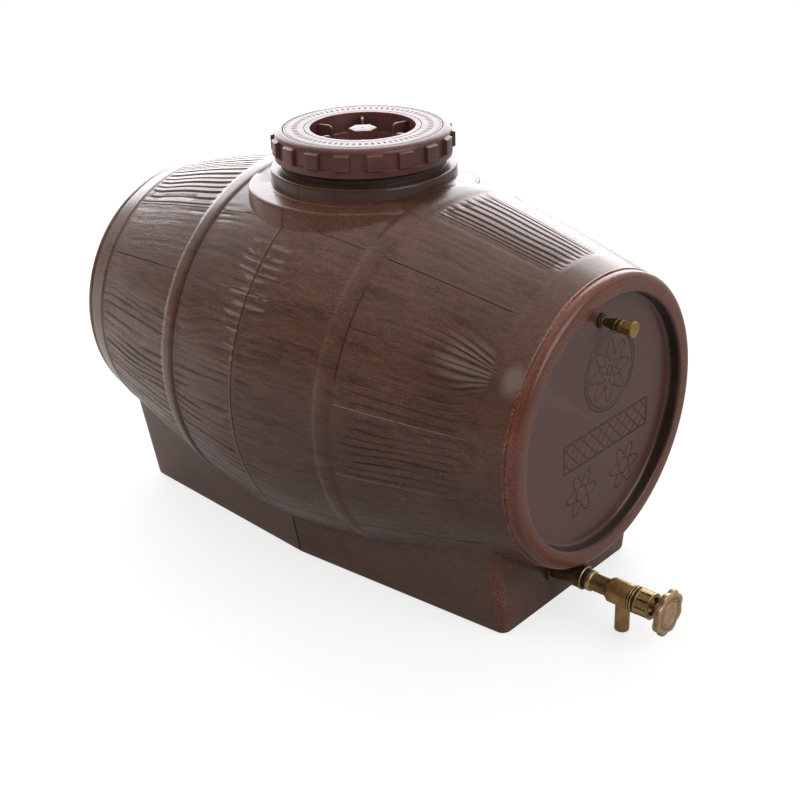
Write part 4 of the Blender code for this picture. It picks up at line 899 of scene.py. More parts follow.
def barrel_surface(look):
    """The barrel's closed surface and what its points carry. Its radius is the outline's, plus the hoops,
    less the grooves' valleys and the gaps between the staves. A hoop is its height times one less the
    fourth power of the share of its half width, and the softer front one takes 0.7 of that, squared. At
    the parting line the front half lies 0.3 mm lower, with a thin flash between the halves."""
    profile = barrel_profile()
    stave, share, gap, valley, number = grain_columns(look.grooves)
    radius, x = profile[:, :1], profile[:, 1:]
    angle = grain_angles(x, stave, share)
    on_barrel = np.abs(x) < STAVE_END_X + 0.0035
    hoop_x, half, height = hoop_place(angle)
    hoop = np.clip(1 - ((np.abs(x) - hoop_x) / half) ** 4, 0, 1)
    hoop = height * np.where(x < 0, hoop, 0.7 * hoop * hoop)
    strength = grain_strength(x, angle) * on_barrel
    draw = np.random.default_rng(37)
    length, phase = draw.uniform(0.10, 0.34, len(valley)), draw.uniform(0, 2 * math.pi, len(valley))
    power = draw.uniform(0.55, 1.0, len(valley))
    wave = np.sin(2 * math.pi * x / length + phase)
    top = ramp(np.cos(angle) - 0.80, 0.12)
    cut = np.clip(0.75 + 0.30 * top + (0.55 - 0.35 * top) * wave, 0.20, 1) * (power + 0.3 * top * (1 - power))
    notch = stave_gaps(x, angle, gap, wave)
    halves = -HALVES_STEP * np.clip(x / 0.0014 + 0.5, 0, 1) * ramp(0.030 - x, 0.024)
    flash = FLASH_HEIGHT * np.clip(1 - np.abs(x + 0.0006) / 0.0010, 0, 1)
    carving = look.grain_depth * strength * valley * cut
    radius = radius + on_barrel * (hoop - carving - look.gap_depth * notch + halves + flash)
    radius = np.broadcast_to(radius, angle.shape)
    rows = [np.broadcast_to(x, angle.shape), radius * np.sin(angle), AXIS_Z + radius * np.cos(angle)]

    def flat(values):
        values = np.broadcast_to(values, angle.shape)
        return np.concatenate([values[0, :1], values[1:-1].ravel(), values[-1, :1]])

    marks = {"grain": flat(number), "stave": flat(strength), "outside": flat(np.ones(1)), "gap": flat(notch),
             "barrel": flat(np.ones(1))}
    return loft(np.stack(rows, -1)), marks


def foot_shape(inset=0.0, low=0.0, high=FOOT_HEIGHT, groove=0.0):
    """Foot block: a six-cornered plan, widest at the parting line, with its four corners rounded and a
    V-shaped groove at the parting line. Its sides lean out by 0.17 of the height, its lower edge is a
    quarter circle, and it ends in a point at the bottom's and the top's middle."""
    def plan(z, shrink):
        middle = FOOT_MIDDLE_Y - inset + FOOT_LEAN * z - shrink
        end = FOOT_Y - inset + FOOT_LEAN * z - shrink
        far = FOOT_X - inset - shrink
        corner = max(FOOT_CORNER - inset - shrink, 0.002)
        half = rounded([(0, middle), (far, end, corner), (far, -end, corner), (0, -middle)], 6)
        steps = np.concatenate([[0.0045], np.linspace(0, 1, 25)[1:-1]])[:, None]
        side = half[0] + (half[1] - half[0]) * steps
        back = half[-2] + (half[-1] - half[-2]) * (1 - steps[::-1])
        right = np.concatenate([half[:1] - (0, groove), side, half[1:-1], back])
        both = np.concatenate([right, -right])
        return np.concatenate([both, np.full((len(both), 1), z)], 1)

    turn = np.radians(np.linspace(0, 90, 6))
    rows = [(low + FOOT_EDGE * (1 - math.sin(t)), FOOT_EDGE * (1 - math.cos(t))) for t in turn[::-1]]
    rows += [(z, 0.0) for z in np.linspace(low + FOOT_EDGE, high, 10)[1:]]
    loops = [plan(z, shrink) for z, shrink in rows]
    bottom, top = (np.zeros_like(loops[0]) + (0, 0, z) for z in (rows[0][0], high))
    return loft(np.array([bottom, *loops, top]))


def neck_swell(radius, height, angle):
    """Neck's screw thread: a rounded ridge, a wave of the height in pitches less the turn, that fades out
    at both ends. The plinth's rear half stands 1 mm proud of its front half at the parting line."""
    wave = np.cos(2 * math.pi * (height / THREAD_PITCH - angle / (2 * math.pi))) * 1.6 - 0.6
    fade = ramp(height - 0.4012, 0.0012) * ramp(0.4225 - height, 0.002)
    on_neck = np.abs(radius - NECK_RADIUS) < 0.00005
    rear_half = PLINTH_PROUD * (radius > 0.105) * (np.cos(angle) < 0.004)
    return radius + on_neck * THREAD_HEIGHT * np.clip(wave, 0, 1) * fade + rear_half


def neck_shape():
    """Plinth, collar and threaded neck as one turned solid that reaches down into the barrel."""
    buried = 0.3012
    thread = np.linspace(THREAD_TOP, THREAD_FOOT, 38)
    foot = [(NECK_RADIUS, THREAD_FOOT), (NECK_RADIUS, COLLAR_TOP, 0.0005),
            (COLLAR_RADIUS, COLLAR_TOP, 0.0026), (COLLAR_RADIUS + 0.0006, PLINTH_TOP, 0.0012),
            (PLINTH_RADIUS, PLINTH_TOP, 0.0032),
            (PLINTH_RADIUS + (PLINTH_TOP - buried) * 0.12, buried), (0, buried)]
    profile = np.concatenate([
        rounded([(0, NECK_TOP), (NECK_RADIUS, NECK_TOP, 0.0008), (NECK_RADIUS, THREAD_TOP)], 3)[:-1],
        np.stack([np.full_like(thread, NECK_RADIUS), thread], 1), rounded(foot, 5)[1:]])
    return turned(profile, 200, swell=neck_swell)


def moulding_cavity():
    """Inside of the barrel: its outline one wall further in, less a rod that leaves the band thick round
    the tap's relief."""
    x = np.linspace(STAVE_END_X, 0, 16)
    end = [(0, HEAD_X - WALL), (0.1298, HEAD_X - WALL), (0.1298, 0.2960), (0.1375, 0.2960),
           (0.1393, RIM_BACK_X), (0.1393, BAND_END_X)]
    half = np.concatenate([end, np.stack([stave_radius(x) - WALL, x], 1)])
    profile = np.concatenate([half, half[::-1][1:] * (1, -1)])
    backing = rod(0.0180, 0.2582, RIM_NOSE_X, 64, TAP_AXIS, True)
    inside = turned(profile, 96, centre=(0, 0, AXIS_Z), along_x=True)
    return carved("barrel_cavity", inside, [("DIFFERENCE", backing)])


def mark_moulding(mesh):
    """Carries what else the barrel's material needs: how much of a head and of a rubbed edge each corner
    is. A face counts by its middle, so a mark never runs over onto the next form."""
    sides = read(mesh.polygons, "loop_total", kind=np.int32)
    face = np.repeat(np.arange(len(sides)), sides)
    points = read(mesh.vertices, "co", 3).astype(float)[corner_points(mesh)]
    fx, fy, fz = read(mesh.polygons, "center", 3).astype(float)[face].T
    normals = read(mesh.polygons, "normal", 3)[face]

    radius = np.hypot(points[:, 1], points[:, 2] - AXIS_Z)
    head = (np.abs(fx) > HEAD_X - 0.001) & (radius < MOUTH_RADIUS - 0.002) & (np.abs(normals[:, 0]) > 0.5)
    rim = (np.abs(fx) > RIM_BACK_X - 0.001) & ~head & (np.hypot(fy, fz - AXIS_Z) > MOUTH_RADIUS + 0.001)
    neck_edge = (fz > 0.33) & (np.hypot(fx, fy) < PLINTH_RADIUS + 0.01) & (normals[:, 2] < 0.8)
    foot_edge = (fz < 0.12) & (np.abs(fx) > FOOT_X - 0.012) & (np.abs(fy) > 0.088)
    carry(mesh, "head", head * 1.0)
    carry(mesh, "edge", (rim | neck_edge | foot_edge) * 1.0)


class WINE_BARREL_OT_moulding(Operator):
    """Build the hollow barrel with its staves, hoops, rims, foot, plinth and threaded neck"""
    bl_idname = "wine_barrel.moulding"
    bl_label = "Barrel moulding"

    def execute(self, context):
        look = context.scene.wine_barrel
        body, marks = barrel_surface(look)
        relief = [(0, 0.3060), (0.0135, 0.3060), (0.0135, 0.2635, 0.0004), (0.0088, 0.2635), (0.0088, 0.2520),
                  (0, 0.2520)]
        steps = [("UNION", foot_shape(groove=FOOT_GROOVE), 1.0), ("UNION", neck_shape(), 1.0),
                 ("UNION", rod(TAP_PAD_RADIUS, 0.2590, TAP_PAD_X, 64, TAP_AXIS, True)),
                 ("DIFFERENCE", moulding_cavity()), ("DIFFERENCE", rod(NECK_BORE, AXIS_Z, 0.4290, 160)),
                 ("DIFFERENCE", foot_shape(WALL, WALL, 0.12)),
                 ("DIFFERENCE", turned(rounded(relief, 2), 64, TAP_AXIS, True)),
                 ("DIFFERENCE", rod(VENT_HOLE, 0.2789, 0.2914, 32, VENT_AXIS, True))]
        shell = carved("barrel_moulding", body, steps, marks)
        mark_moulding(shell.data)
        settle(shell, barrel_finish(look), "barrel", ["barrel_shell"], 24)
        return {"FINISHED"}


# Lid


def lug_angles(lugs):
    """Columns of the lid's ring, close together at both sides of each lug."""
    step, half = 2 * math.pi / lugs, LUG_HALF_ANGLE
    side = np.array([-half - 0.012, -half - 0.004, -half + 0.004, -half + 0.016, -half / 2, 0.0])
    local = np.concatenate([side, -side[:-1][::-1], [step / 2 - 0.02, step / 2, step / 2 + 0.02]])
    return (np.arange(lugs)[:, None] * step + local[None]).ravel()


def lug_swell(lugs, reach):
    """Ring's radius with its lugs: between the shoulder and the lower band, the radius steps from the
    pocket to the lug over a short ramp of the angle, and over a short ramp of the height above and below."""
    def swell(radius, height, angle):
        over = ramp(LUG_HALF_ANGLE + 0.0045 - np.abs(off_nearest(angle, 2 * math.pi / lugs)), 0.009)
        tall = ramp(height - 0.4158, 0.0006) * ramp(0.4316 - height, 0.0009)
        outer = radius > RING_RADIUS - 0.0014
        return radius + outer * tall * over * (RING_RADIUS + reach - radius)
    return swell


class WINE_BARREL_OT_lid(Operator):
    """Build the screw ring with its lugs, the disc with its well, ribs and hexagon, and the gasket"""
    bl_idname = "wine_barrel.lid"
    bl_label = "Screw lid"

    def execute(self, context):
        look = context.scene.wine_barrel_lid
        finish = lid_finish(look)
        swell, angles = lug_swell(look.lugs, look.lug_reach), lug_angles(look.lugs)
        ring = turned(self.ring_profile(), swell=swell, angles=angles)
        make_piece("lid_screw_ring", ring, finish, "lid_ring", ["lid_ring_nut"], 34)

        boss = turned(rounded([(0, 0.4346), (0.0124, 0.4346, 0.0006), (0.0124, 0.4135), (0, 0.4135)], 3),
                      swell=lambda r, h, a: r * polygon_radius(a, 6, BOSS_TURN, 0.01),
                      angles=corner_angles(6, BOSS_TURN))
        dimple = rod(0.0011, 0.4338, 0.4360, 24)
        ribs = [("UNION", self.rib(BOSS_TURN + k * math.pi / 3)) for k in range(6)]
        steps = [("UNION", boss), ("DIFFERENCE", dimple), *ribs]
        disc = carved("lid_middle", turned(self.disc_profile(), 144), steps)
        settle(disc, finish, "lid", ["lid_disc"], 34)

        gasket = turned(rounded(washer(0.0773, 0.0827, 0.4253, 0.4273, 0.0004, 0.0004), 3, True), 144)
        make_piece("lid_rubber_ring", gasket, rubber_finish(), "lid", ["lid_gasket"])
        return {"FINISHED"}

    def ring_profile(self):
        """The ring's outside from its shoulder down past the lugs' height to its lower band, and its
        bore."""
        heights = (0.4313, 0.4308, 0.4304, 0.4298, 0.4280, 0.4250, 0.4220, 0.4190, 0.4170, 0.4164)
        corner = [(0.0009, 0.4156), (0.0013, 0.4150), (0.0009, RING_BOTTOM + 0.0009),
                  (-0.0003, RING_BOTTOM + 0.0003), (-0.0009, RING_BOTTOM)]
        return np.concatenate([
            arc(RING_RADIUS - 0.0080, 0.4313, 0.0080, 90, 0, 9, 0.0055),
            [(RING_RADIUS - 0.0010, z) for z in heights], [(RING_RADIUS + out, z) for out, z in corner],
            [(RING_BORE, RING_BOTTOM), (RING_BORE, 0.4322), (0.0796, 0.4322), (0.0796, 0.4362)]])

    def disc_profile(self):
        """The disc's well, its top with two turned grooves, its flange and its underside."""
        floor, top = 0.4153, LID_TOP
        well = rounded([(0, floor), (0.0525, floor, 0.003), (0.0525, top, 0.0008), (0.0540, top)], 4)
        groove = [(0.0579, top), (0.0581, top - 0.0008), (0.0586, top - 0.0008), (0.0588, top)]
        outer_groove = [(0.0763, top), (0.0765, top - 0.0004), (0.0770, top - 0.0004), (0.0772, top)]
        under = [(0.0780, top), (0.0790, top, 0.0005), (0.0790, 0.4319), (0.0839, 0.4319, 0.0003),
                 (0.0839, 0.4276), (0.0767, 0.4276), (0.0767, 0.4140, 0.0006), (0.0741, 0.4140, 0.0006),
                 (0.0741, 0.4333), (0.0560, 0.4333), (0.0560, 0.4118), (0, 0.4118)]
        return np.concatenate([well[:-1], groove, outer_groove, rounded(under, 3)])

    def rib(self, turn):
        """One rib of the well: a plate 2.8 mm thick, set at an angle, whose side view is a block with a
        round nose."""
        side = rounded([(0.0350, 0.4135), (0.0350, 0.4334, 0.0052), (0.0542, 0.4334), (0.0542, 0.4135)], 6)
        middle = side.mean(0)
        half, eased_half = 0.0014, 0.00115
        rows = []
        for across, share in ((-half, 0.0), (-half, 0.97), (-eased_half, 1.0), (eased_half, 1.0), (half, 0.97),
                              (half, 0.0)):
            out, up = (middle + (side - middle) * share).T
            rows.append(np.stack([out * math.cos(turn) - across * math.sin(turn),
                                  out * math.sin(turn) + across * math.cos(turn), up], 1))
        return loft(np.array(rows))


# Vent


class WINE_BARREL_OT_vent(Operator):
    """Build the tapered vent with its washer and its screw cap"""
    bl_idname = "wine_barrel.vent"
    bl_label = "Air vent"

    def execute(self, context):
        look = context.scene.wine_barrel_tap
        brass = metal_finish("vent_brass", look.brass, 0.34, 0.45, 0.25)
        bright = metal_finish("vent_cap_brass", toned(look.brass, 1.7), 0.30, 0.35, 0.45)
        rubber = rubber_finish()
        body = [(0.0012, 0.3163), (0.0034, 0.3165, 0.0003), (0.0036, 0.3160), (0.0036, 0.3057),
                (0.0061, 0.3057, 0.0006), (0.0061, 0.3040, 0.0004), (0.0038, 0.2912, 0.0002),
                (0.0050, 0.2912, 0.0003), (0.0050, 0.2900), (0.0034, 0.2900), (0.0034, 0.2715),
                (0.0012, 0.2715)]
        root = [(0.0037, 0.2877), (0.0075, 0.2877, 0.0005), (0.0075, 0.2897, 0.0008), (0.0037, 0.2897)]
        seal = washer(0.0039, 0.0052, 0.3060, 0.3074, 0.0005)
        self.ring("vent_taper", body, brass, "barrel", "brass", "vent_body")
        self.ring("vent_root_washer", root, rubber, "barrel", "black_rubber", "vent_outer_washer",
                  self.ragged)
        self.ring("vent_seal_ring", seal, rubber, "vent_seal", "black_rubber", "vent_cap_seal")

        cap = [(0.0039, 0.3077), (0.0063, 0.3077, 0.0004), (0.0063, 0.3113, 0.0005), (0.0056, 0.3113),
               (0.0056, 0.3203), (0.0078, 0.3203, 0.0004), (0.0078, 0.3233, 0.0006), (0.0046, 0.3233, 0.0002),
               (0.0044, 0.3230, 0.0002), (0, 0.3230)]
        profile = np.concatenate([[(0, 0.3179), (0.0039, 0.3179)], rounded(cap, 3)])
        angles = np.linspace(0, 2 * math.pi, 144, endpoint=False) + 0.35
        shape = turned(profile, centre=VENT_AXIS, along_x=True, swell=self.hexagon, angles=angles)
        make_piece("vent_screw_cap", shape, bright, "vent_screw", ["vent_cap"])
        return {"FINISHED"}

    def ring(self, name, corners, finish, body, slot, node, swell=None):
        """One turned ring on the vent's axis."""
        shape = turned(rounded(corners, 3, True), 64, VENT_AXIS, True, swell)
        make_piece(name, shape, finish, body, [node])

    @staticmethod
    def ragged(radius, height, angle):
        """The root washer's radius: its rim is 8 per cent smaller and uneven by two waves of the angle."""
        rim = radius > 0.006
        return radius * (1 + rim * (0.05 * np.sin(5 * angle + 1) + 0.03 * np.sin(11 * angle)) - rim * 0.08)

    @staticmethod
    def hexagon(radius, height, angle):
        """The cap's radius: six flats on its waist, and a rim knurled by a wave of the angle."""
        flat = (np.abs(radius - 0.0056) < 0.00002) & (height > 0.3105)
        knurl = (radius > 0.0076) * 0.018 * np.cos(36 * angle)
        return radius * np.where(flat, polygon_radius(angle, 6, 0.35, 0.02), 1 - np.abs(knurl))


# Tap


def decagon_swell(radius, height, angle):
    """Bonnet's radius: round at both ends, and between them ten flat pads, whose radius is the corners'
    radius times the cosine of half a side over the cosine of the angle from the pad's middle, with a
    groove 0.8 mm deep at each corner."""
    step = 2 * math.pi / BONNET_PADS
    off = np.abs(off_nearest(angle - BONNET_TURN, step))
    groove = 0.0008 * ramp(off - step / 2 + 0.080, 0.030)
    drop = radius * (1 - math.cos(step / 2) / np.cos(off)) * 0.7 + groove
    between = ramp(height - 0.3593, 0.0005) * ramp(0.3727 - height, 0.0005)
    return np.where(radius > 0.0110, radius - drop * between, radius)


def lobe_swell(lobes, depth):
    """Handwheel's radius: a cosine of the angle, as many waves as lobes, to the power of 1.4, that only
    bites near the outer edge."""
    def swell(radius, height, angle):
        hollow = ((1 - np.cos(lobes * (angle - math.radians(-20)))) / 2) ** 1.4
        return radius - depth * hollow * ramp(radius - 0.0165, 0.0050)
    return swell


class WINE_BARREL_OT_tap(Operator):
    """Build the tap: socket, seal, body with its spout, bonnet, handwheel and its centre plate"""
    bl_idname = "wine_barrel.tap"
    bl_label = "Brass tap"

    def execute(self, context):
        look = context.scene.wine_barrel_tap
        self.make_rings(look)
        self.make_body(look)
        self.make_bonnet(look)
        self.make_wheel(look)
        return {"FINISHED"}

    def make_rings(self, look):
        """The socket in the wall, and the rubber rings at the wall, the inlet and the bonnet."""
        olive = metal_finish("socket_bronze", toned(look.bronze, 0.40), 0.40, 0.6, 0.1, [
            (0.2968, 0.2980, 0.0112, 0.0125, WORN, 0.5)])
        rubber, inlet = rubber_finish(), rubber_finish("inlet_rubber", RED_RUBBER)
        socket = [(0.0086, 0.2976), (0.0113, 0.2976), (0.0121, 0.2970, 0.0005), (0.0121, 0.2956, 0.0005),
                  (0.0115, 0.2948), (0.0115, 0.2661), (0.0085, 0.2661), (0.0085, 0.2390), (0.0058, 0.2390),
                  (0.0058, 0.2812), (0.0086, 0.2812)]
        wall = washer(0.0088, 0.0115, 0.2638, 0.2658, 0.0006)
        seal = washer(0.0086, 0.0097, 0.2979, 0.3015, 0.0005)
        bonnet = washer(0.0095, 0.0116, 0.3565, 0.3577, 0.0004)
        for name, corners, finish, slot, node in (
                ("tap_wall_socket", socket, olive, "brass", "tap_bulkhead_socket"),
                ("tap_wall_washer", wall, rubber, "black_rubber", "tap_outer_washer"),
                ("tap_inlet_ring", seal, inlet, "black_rubber", "tap_inlet_seal"),
                ("tap_bonnet_ring", bonnet, rubber, "black_rubber", "tap_bonnet_seal")):
            shape = turned(rounded(corners, 3, True), 96, TAP_AXIS, True)
            make_piece(name, shape, finish, "barrel", [node])

    def make_body(self, look):
        """The body with its two beads behind the bonnet, its bore, and the spout with its own."""
        bronze = metal_finish("tap_body_bronze", look.bronze, 0.36, 0.55, 0.35, [
            (0.3019, 0.3067, 0.0088, 0.0110, WORN, 0.75), (0.3067, 0.3240, 0.0080, 0.0100, TARNISHED, 0.35),
            (0.3503, 0.3560, 0.0100, 0.0125, TARNISHED, 0.85), (0.3516, 0.3527, 0.0130, 0.0140, WORN, 0.5),
            (0.3544, 0.3555, 0.0130, 0.0140, WORN, 0.5)])
        beads = []
        for end in (0.3556, 0.3528):
            beads += [(0.0118, end + 0.0003, 0.0002), (0.01335, end, 0.0004), (0.01335, end - 0.0012, 0.0004),
                      (0.0118, end - 0.0016, 0.0002)]
        body = [(0, 0.3562), (0.0118, 0.3562, 0.0002), *beads, (0.0118, 0.3504, 0.0002),
                (0.01245, 0.3500, 0.0002), (0.01245, 0.3278, 0.0008), (0.00875, 0.3230, 0.0004),
                (0.00875, 0.3065, 0.0002), (0.0104, 0.3065, 0.0008), (0.0104, 0.3020, 0.0008),
                (0.0083, 0.3020), (0.0083, 0.2857), (0, 0.2857)]
        bore = [(0, 0.3600), (0.0095, 0.3600), (0.0095, 0.3297), (0.0066, 0.3297), (0.0066, 0.3312),
                (0.0052, 0.3312), (0.0052, 0.2820), (0, 0.2820)]
        spout = rounded([(0, 0.0415), (0.00725, 0.0415), (0.00725, 0.0018, 0.0008), (0, 0.0018)], 3)
        place = (SPOUT_X, TAP_AXIS[1], 0.0)
        steps = [("UNION", turned(spout, 80, place)), ("DIFFERENCE", turned(bore, 64, TAP_AXIS, True)),
                 ("DIFFERENCE", rod(SPOUT_BORE, -0.002, TAP_AXIS[2], 64, place))]
        tap = carved("tap_casting", turned(rounded(body, 3), 96, TAP_AXIS, True), steps)
        settle(tap, bronze, "barrel", ["tap_body"])

    def make_bonnet(self, look):
        """The bonnet nut, with its pads between two round ends."""
        bronze = metal_finish("tap_bronze", look.bronze, 0.36, 0.45, 0.25, [
            (0.3590, 0.3730, 0.0110, 0.01275, TARNISHED, 0.75), (0.3590, 0.3730, 0.0129, 0.0134, WORN, 0.25),
            (0.3728, 0.3740, 0.0120, 0.0140, WORN, 0.4)])
        corners = [(0.0094, 0.3739, 0.0004), (BONNET_RADIUS, 0.3739, 0.0008),
                   *[(BONNET_RADIUS, place) for place in (0.3728, 0.3721, 0.3660, 0.3599, 0.3592)],
                   (BONNET_RADIUS, 0.3580, 0.0006), (0.0092, 0.3580), (0.0092, 0.3470), (0.0043, 0.3470),
                   (0.0043, 0.3597), (0.0033, 0.3597), (0.0033, 0.3617), (0.0064, 0.3617), (0.0064, 0.3670),
                   (0.0094, 0.3670)]
        angles = corner_angles(BONNET_PADS, BONNET_TURN, (0.0, 0.05, 0.079, 0.128, 0.16, 0.3, 0.5))
        shape = turned(rounded(corners, 3, True), centre=TAP_AXIS, along_x=True, swell=decagon_swell,
                       angles=angles)
        make_piece("tap_bonnet_cap", shape, bronze, "barrel", ["tap_bonnet"], 22)

    def make_wheel(self, look):
        """The handwheel with its hub, its lobes and two turned grooves in its face, and its centre plate."""
        tan = metal_finish("wheel_bronze", look.tan, 0.42, 0.25, 0.15, [
            (0.3910, 0.3919, 0.0120, 0.0170, TARNISHED, 0.6),
            (0.3850, 0.3915, 0.0180, 0.0240, TARNISHED, 0.25)])
        back, face = WHEEL_BACK_X, WHEEL_FACE_X
        wheel = [(0.0033, 0.3767), (0.0048, 0.3767, 0.0004), (0.0048, back, 0.0008), (0.0120, back),
                 (0.0190, back + 0.0006, 0.001), (0.0232, back + 0.0012, 0.0018),
                 (0.0232, face - 0.0006, 0.0024), (0.0200, face, 0.001)]
        for outer in (0.0169, 0.0151):
            wheel += [(outer, face), (outer - 0.0002, face - 0.0007), (outer - 0.0007, face - 0.0007),
                      (outer - 0.0009, face)]
        wheel += [(0.0126, face, 0.0003), (0.0126, 0.3901), (0.0033, 0.3901)]
        shape = turned(rounded(wheel, 4, True), 192, TAP_AXIS, True, lobe_swell(look.lobes, look.lobe_depth))
        make_piece("tap_wheel", shape, tan, "handwheel", ["tap_handwheel"])
        plate = [(0, face - 0.0002), (0.0060, face - 0.0001), (0.0122, face, 0.0005), (0.0122, 0.3904),
                 (0, 0.3904)]
        shape = turned(rounded(plate, 3), 96, TAP_AXIS, True)
        make_piece("tap_wheel_plate", shape, tan, "handwheel", ["tap_handwheel_cap"])


class WINE_BARREL_OT_inner_fittings(Operator):
    """Give the fittings that keep their CAD shape their brass, rubber and steel"""
    bl_idname = "wine_barrel.inner_fittings"
    bl_label = "Inner fittings"

    def execute(self, context):
        look = context.scene.wine_barrel_tap
        bright = metal_finish("stem_brass", toned(look.bronze, 1.2), 0.30, 0.35, 0.3)
        rubber, steel = rubber_finish(), steel_finish()
        brass_names = ["tap_spindle", "tap_gland_nut", "tap_valve_disc", "tap_lock_nut", "vent_lock_nut"]
        rubber_names = ["vent_inner_washer", "tap_inner_washer", "tap_packing", "tap_valve_washer"]
        groups = [(bright, brass_names), (rubber, rubber_names), (steel, ["tap_handwheel_screw"])]
        for finish, names in groups:
            for name in names:
                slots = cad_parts[name].material_slots
                if not slots:
                    raise RuntimeError(f"{name} has no material slot")
                for slot in slots:
                    slot.material = finish
        return {"FINISHED"}


# Stage


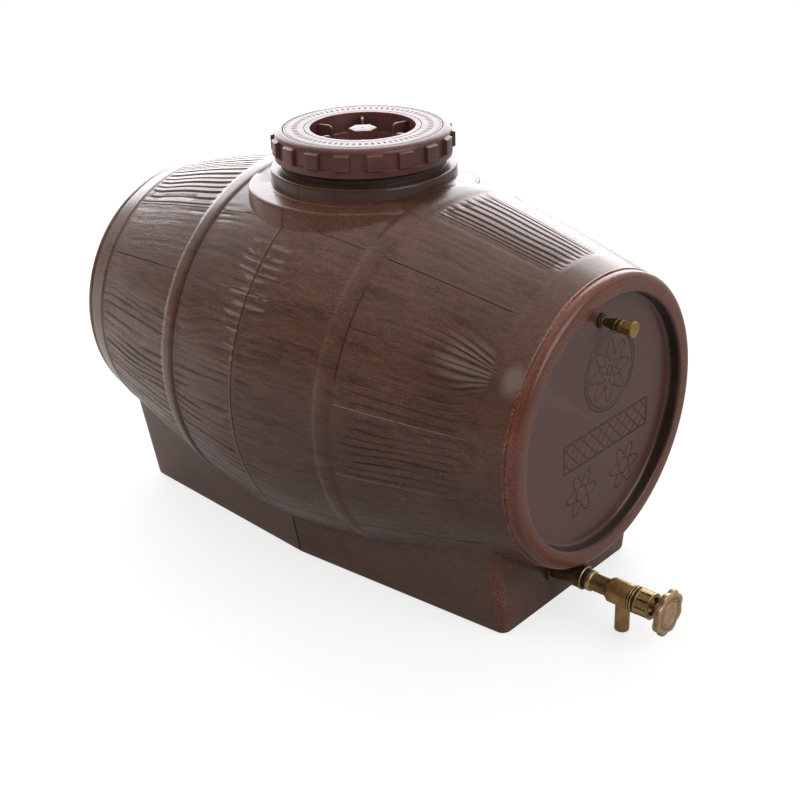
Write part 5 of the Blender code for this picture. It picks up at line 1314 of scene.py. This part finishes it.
class WINE_BARREL_OT_stage(Operator):
    """Set up the white floor, the soft light and the camera"""
    bl_idname = "wine_barrel.stage"
    bl_label = "Stage"

    def execute(self, context):
        look = context.scene.wine_barrel_stage
        self.make_floor(look)
        self.make_world(context.scene)
        self.make_lamp("back_lamp", (-1.95, 2.15, 1.45), 4.6, 2.9, look.back_light, (0.975, 0.965, 1.0))
        self.make_lamp("key_lamp", (0.0, -2.0, 2.20), 3.2, 2.6, look.key_light, glossy=False)
        self.make_lamp("side_lamp", (-1.9, -1.3, 1.1), 1.6, 1.6, look.side_light, glossy=False)
        self.make_lamp("fill_lamp", (2.3, 0.1, 1.5), 1.8, 1.8, look.fill_light)
        self.make_camera(context.scene)
        return {"FINISHED"}

    def make_floor(self, look):
        """A wide plane just under the foot. To the camera it is white and keeps the shadows near the
        barrel, and to all else it is a pale grey, so that it throws little light up at the barrel."""
        half, down = 9.0, -0.0002
        mesh = bpy.data.meshes.new("floor")
        mesh.from_pydata([(-half, -half, down), (half, -half, down), (half, half, down), (-half, half, down)],
                         [], [(0, 1, 2, 3)])
        floor = placed("floor", mesh)
        f = Finish("white_floor")
        x, y, _ = f.axes()
        away, _ = f.polar(x, y)
        path = f.add("ShaderNodeLightPath")
        seen, glossy = path.outputs["Is Camera Ray"], path.outputs["Is Glossy Ray"]
        white = f.mix(f.noise(30.0, 2.0), look.floor, toned(look.floor, 0.985))
        f.set(Base_Color=f.mix(seen, toned(look.floor, 0.3), white), Roughness=0.85, Specular_IOR_Level=0.1)
        glow_tone = f.mix(seen, (1.0, 0.91, 0.86), (1, 1, 1))
        glow = f.add("ShaderNodeEmission", {"Color": glow_tone, "Strength": 1.0})
        left = f.span(x, -0.60, -0.15, 0.85, 0.10)
        share = f.plus(f.times(seen, f.span(away, 0.6, 2.5, 0.72, 1.0)),
                       f.times(glossy, f.plus(left, f.span(away, 0.7, 2.2, 0.10, 0.5))))
        blend = f.add("ShaderNodeMixShader", {0: share, 1: f.shader.outputs[0], 2: glow.outputs[0]})
        f.feed(f.tree.nodes["Material Output"].inputs["Surface"], blend.outputs[0])
        mesh.materials.append(f.material)

    def make_world(self, scene):
        """White to the camera. To all else it is bright above and behind the barrel and dimmer in front,
        by the direction's height and depth."""
        world = bpy.data.worlds.new("studio")
        world.use_nodes = True
        scene.world = world
        f = Finish("", tree=world.node_tree)
        east, north, high = f.add("ShaderNodeSeparateXYZ", {"Vector": f.coords.outputs["Generated"]}).outputs
        back = f.plus(f.times(east, -0.40), f.times(north, 0.62), f.times(high, 0.62))
        seen = f.add("ShaderNodeLightPath").outputs["Is Camera Ray"]
        ground = world.node_tree.nodes["Background"]
        f.feed(ground.inputs["Color"], (1, 1, 1))
        f.feed(ground.inputs["Strength"], f.most(f.span(back, -0.05, 0.80, 0.05, 1.0), seen))

    def make_lamp(self, name, place, width, height, power, colour=(1.0, 0.985, 0.97), glossy=True):
        """A softbox that looks at the barrel's middle and that the camera doesn't see."""
        lamp = bpy.data.lights.new(name, "AREA")
        lamp.shape = "RECTANGLE"
        lamp.size = width
        lamp.size_y = height
        lamp.energy = power
        lamp.color = colour
        obj = placed(name, lamp)
        obj.visible_camera = False
        obj.visible_glossy = glossy
        obj.location = place
        obj.rotation_euler = (Vector((0, 0, 0.2)) - Vector(place)).to_track_quat("-Z", "Y").to_euler()

    def make_camera(self, scene):
        """Camera from its place, yaw, pitch and roll, for a square picture."""
        yaw, pitch, roll = (math.radians(a) for a in (CAMERA_YAW, CAMERA_PITCH, CAMERA_ROLL))
        level = math.cos(pitch)
        forward = Vector((-math.sin(yaw) * level, math.cos(yaw) * level, -math.sin(pitch)))
        right = forward.cross(Vector((0, 0, 1))).normalized()
        up = right.cross(forward)
        right, up = (math.cos(roll) * right + math.sin(roll) * up,
                     math.cos(roll) * up - math.sin(roll) * right)
        camera = bpy.data.cameras.new("camera")
        camera.sensor_width = SENSOR_WIDTH
        camera.lens = SENSOR_WIDTH * FOCAL_PIXELS / PICTURE_PIXELS
        camera.clip_end = 50.0
        place = Matrix((right, up, -forward)).transposed().to_4x4()
        place.translation = CAMERA_PLACE
        obj = placed("camera", camera)
        obj.matrix_world = place
        scene.camera = obj
        scene.view_settings.view_transform = "Standard"


# Panel and registration


SETTINGS = {"wine_barrel": BarrelSettings, "wine_barrel_lid": LidSettings, "wine_barrel_tap": TapSettings,
            "wine_barrel_stage": StageSettings}
STEPS = ("stage", "moulding", "lid", "vent", "tap", "inner_fittings")


class WINE_BARREL_PT_sidebar(Panel):
    """Lists the barrel's settings and its operators"""
    bl_label = "Wine barrel"
    bl_space_type = "VIEW_3D"
    bl_region_type = "UI"
    bl_category = "Barrel"

    def draw(self, context):
        for key in SETTINGS:
            box, group = self.layout.box(), getattr(context.scene, key)
            for name in group.__annotations__:
                box.prop(group, name)
        for step in STEPS:
            self.layout.operator("wine_barrel." + step)


CLASSES = (*SETTINGS.values(), WINE_BARREL_OT_moulding, WINE_BARREL_OT_lid, WINE_BARREL_OT_vent,
           WINE_BARREL_OT_tap, WINE_BARREL_OT_inner_fittings, WINE_BARREL_OT_stage, WINE_BARREL_PT_sidebar)


def register():
    for made in CLASSES:
        bpy.utils.register_class(made)
    for key, group in SETTINGS.items():
        setattr(bpy.types.Scene, key, PointerProperty(type=group))


def unregister():
    for key in SETTINGS:
        delattr(bpy.types.Scene, key)
    for made in reversed(CLASSES):
        bpy.utils.unregister_class(made)


def main():
    register()
    for step in STEPS:
        getattr(bpy.ops.wine_barrel, step)()


if __name__ == "__main__":
    main()
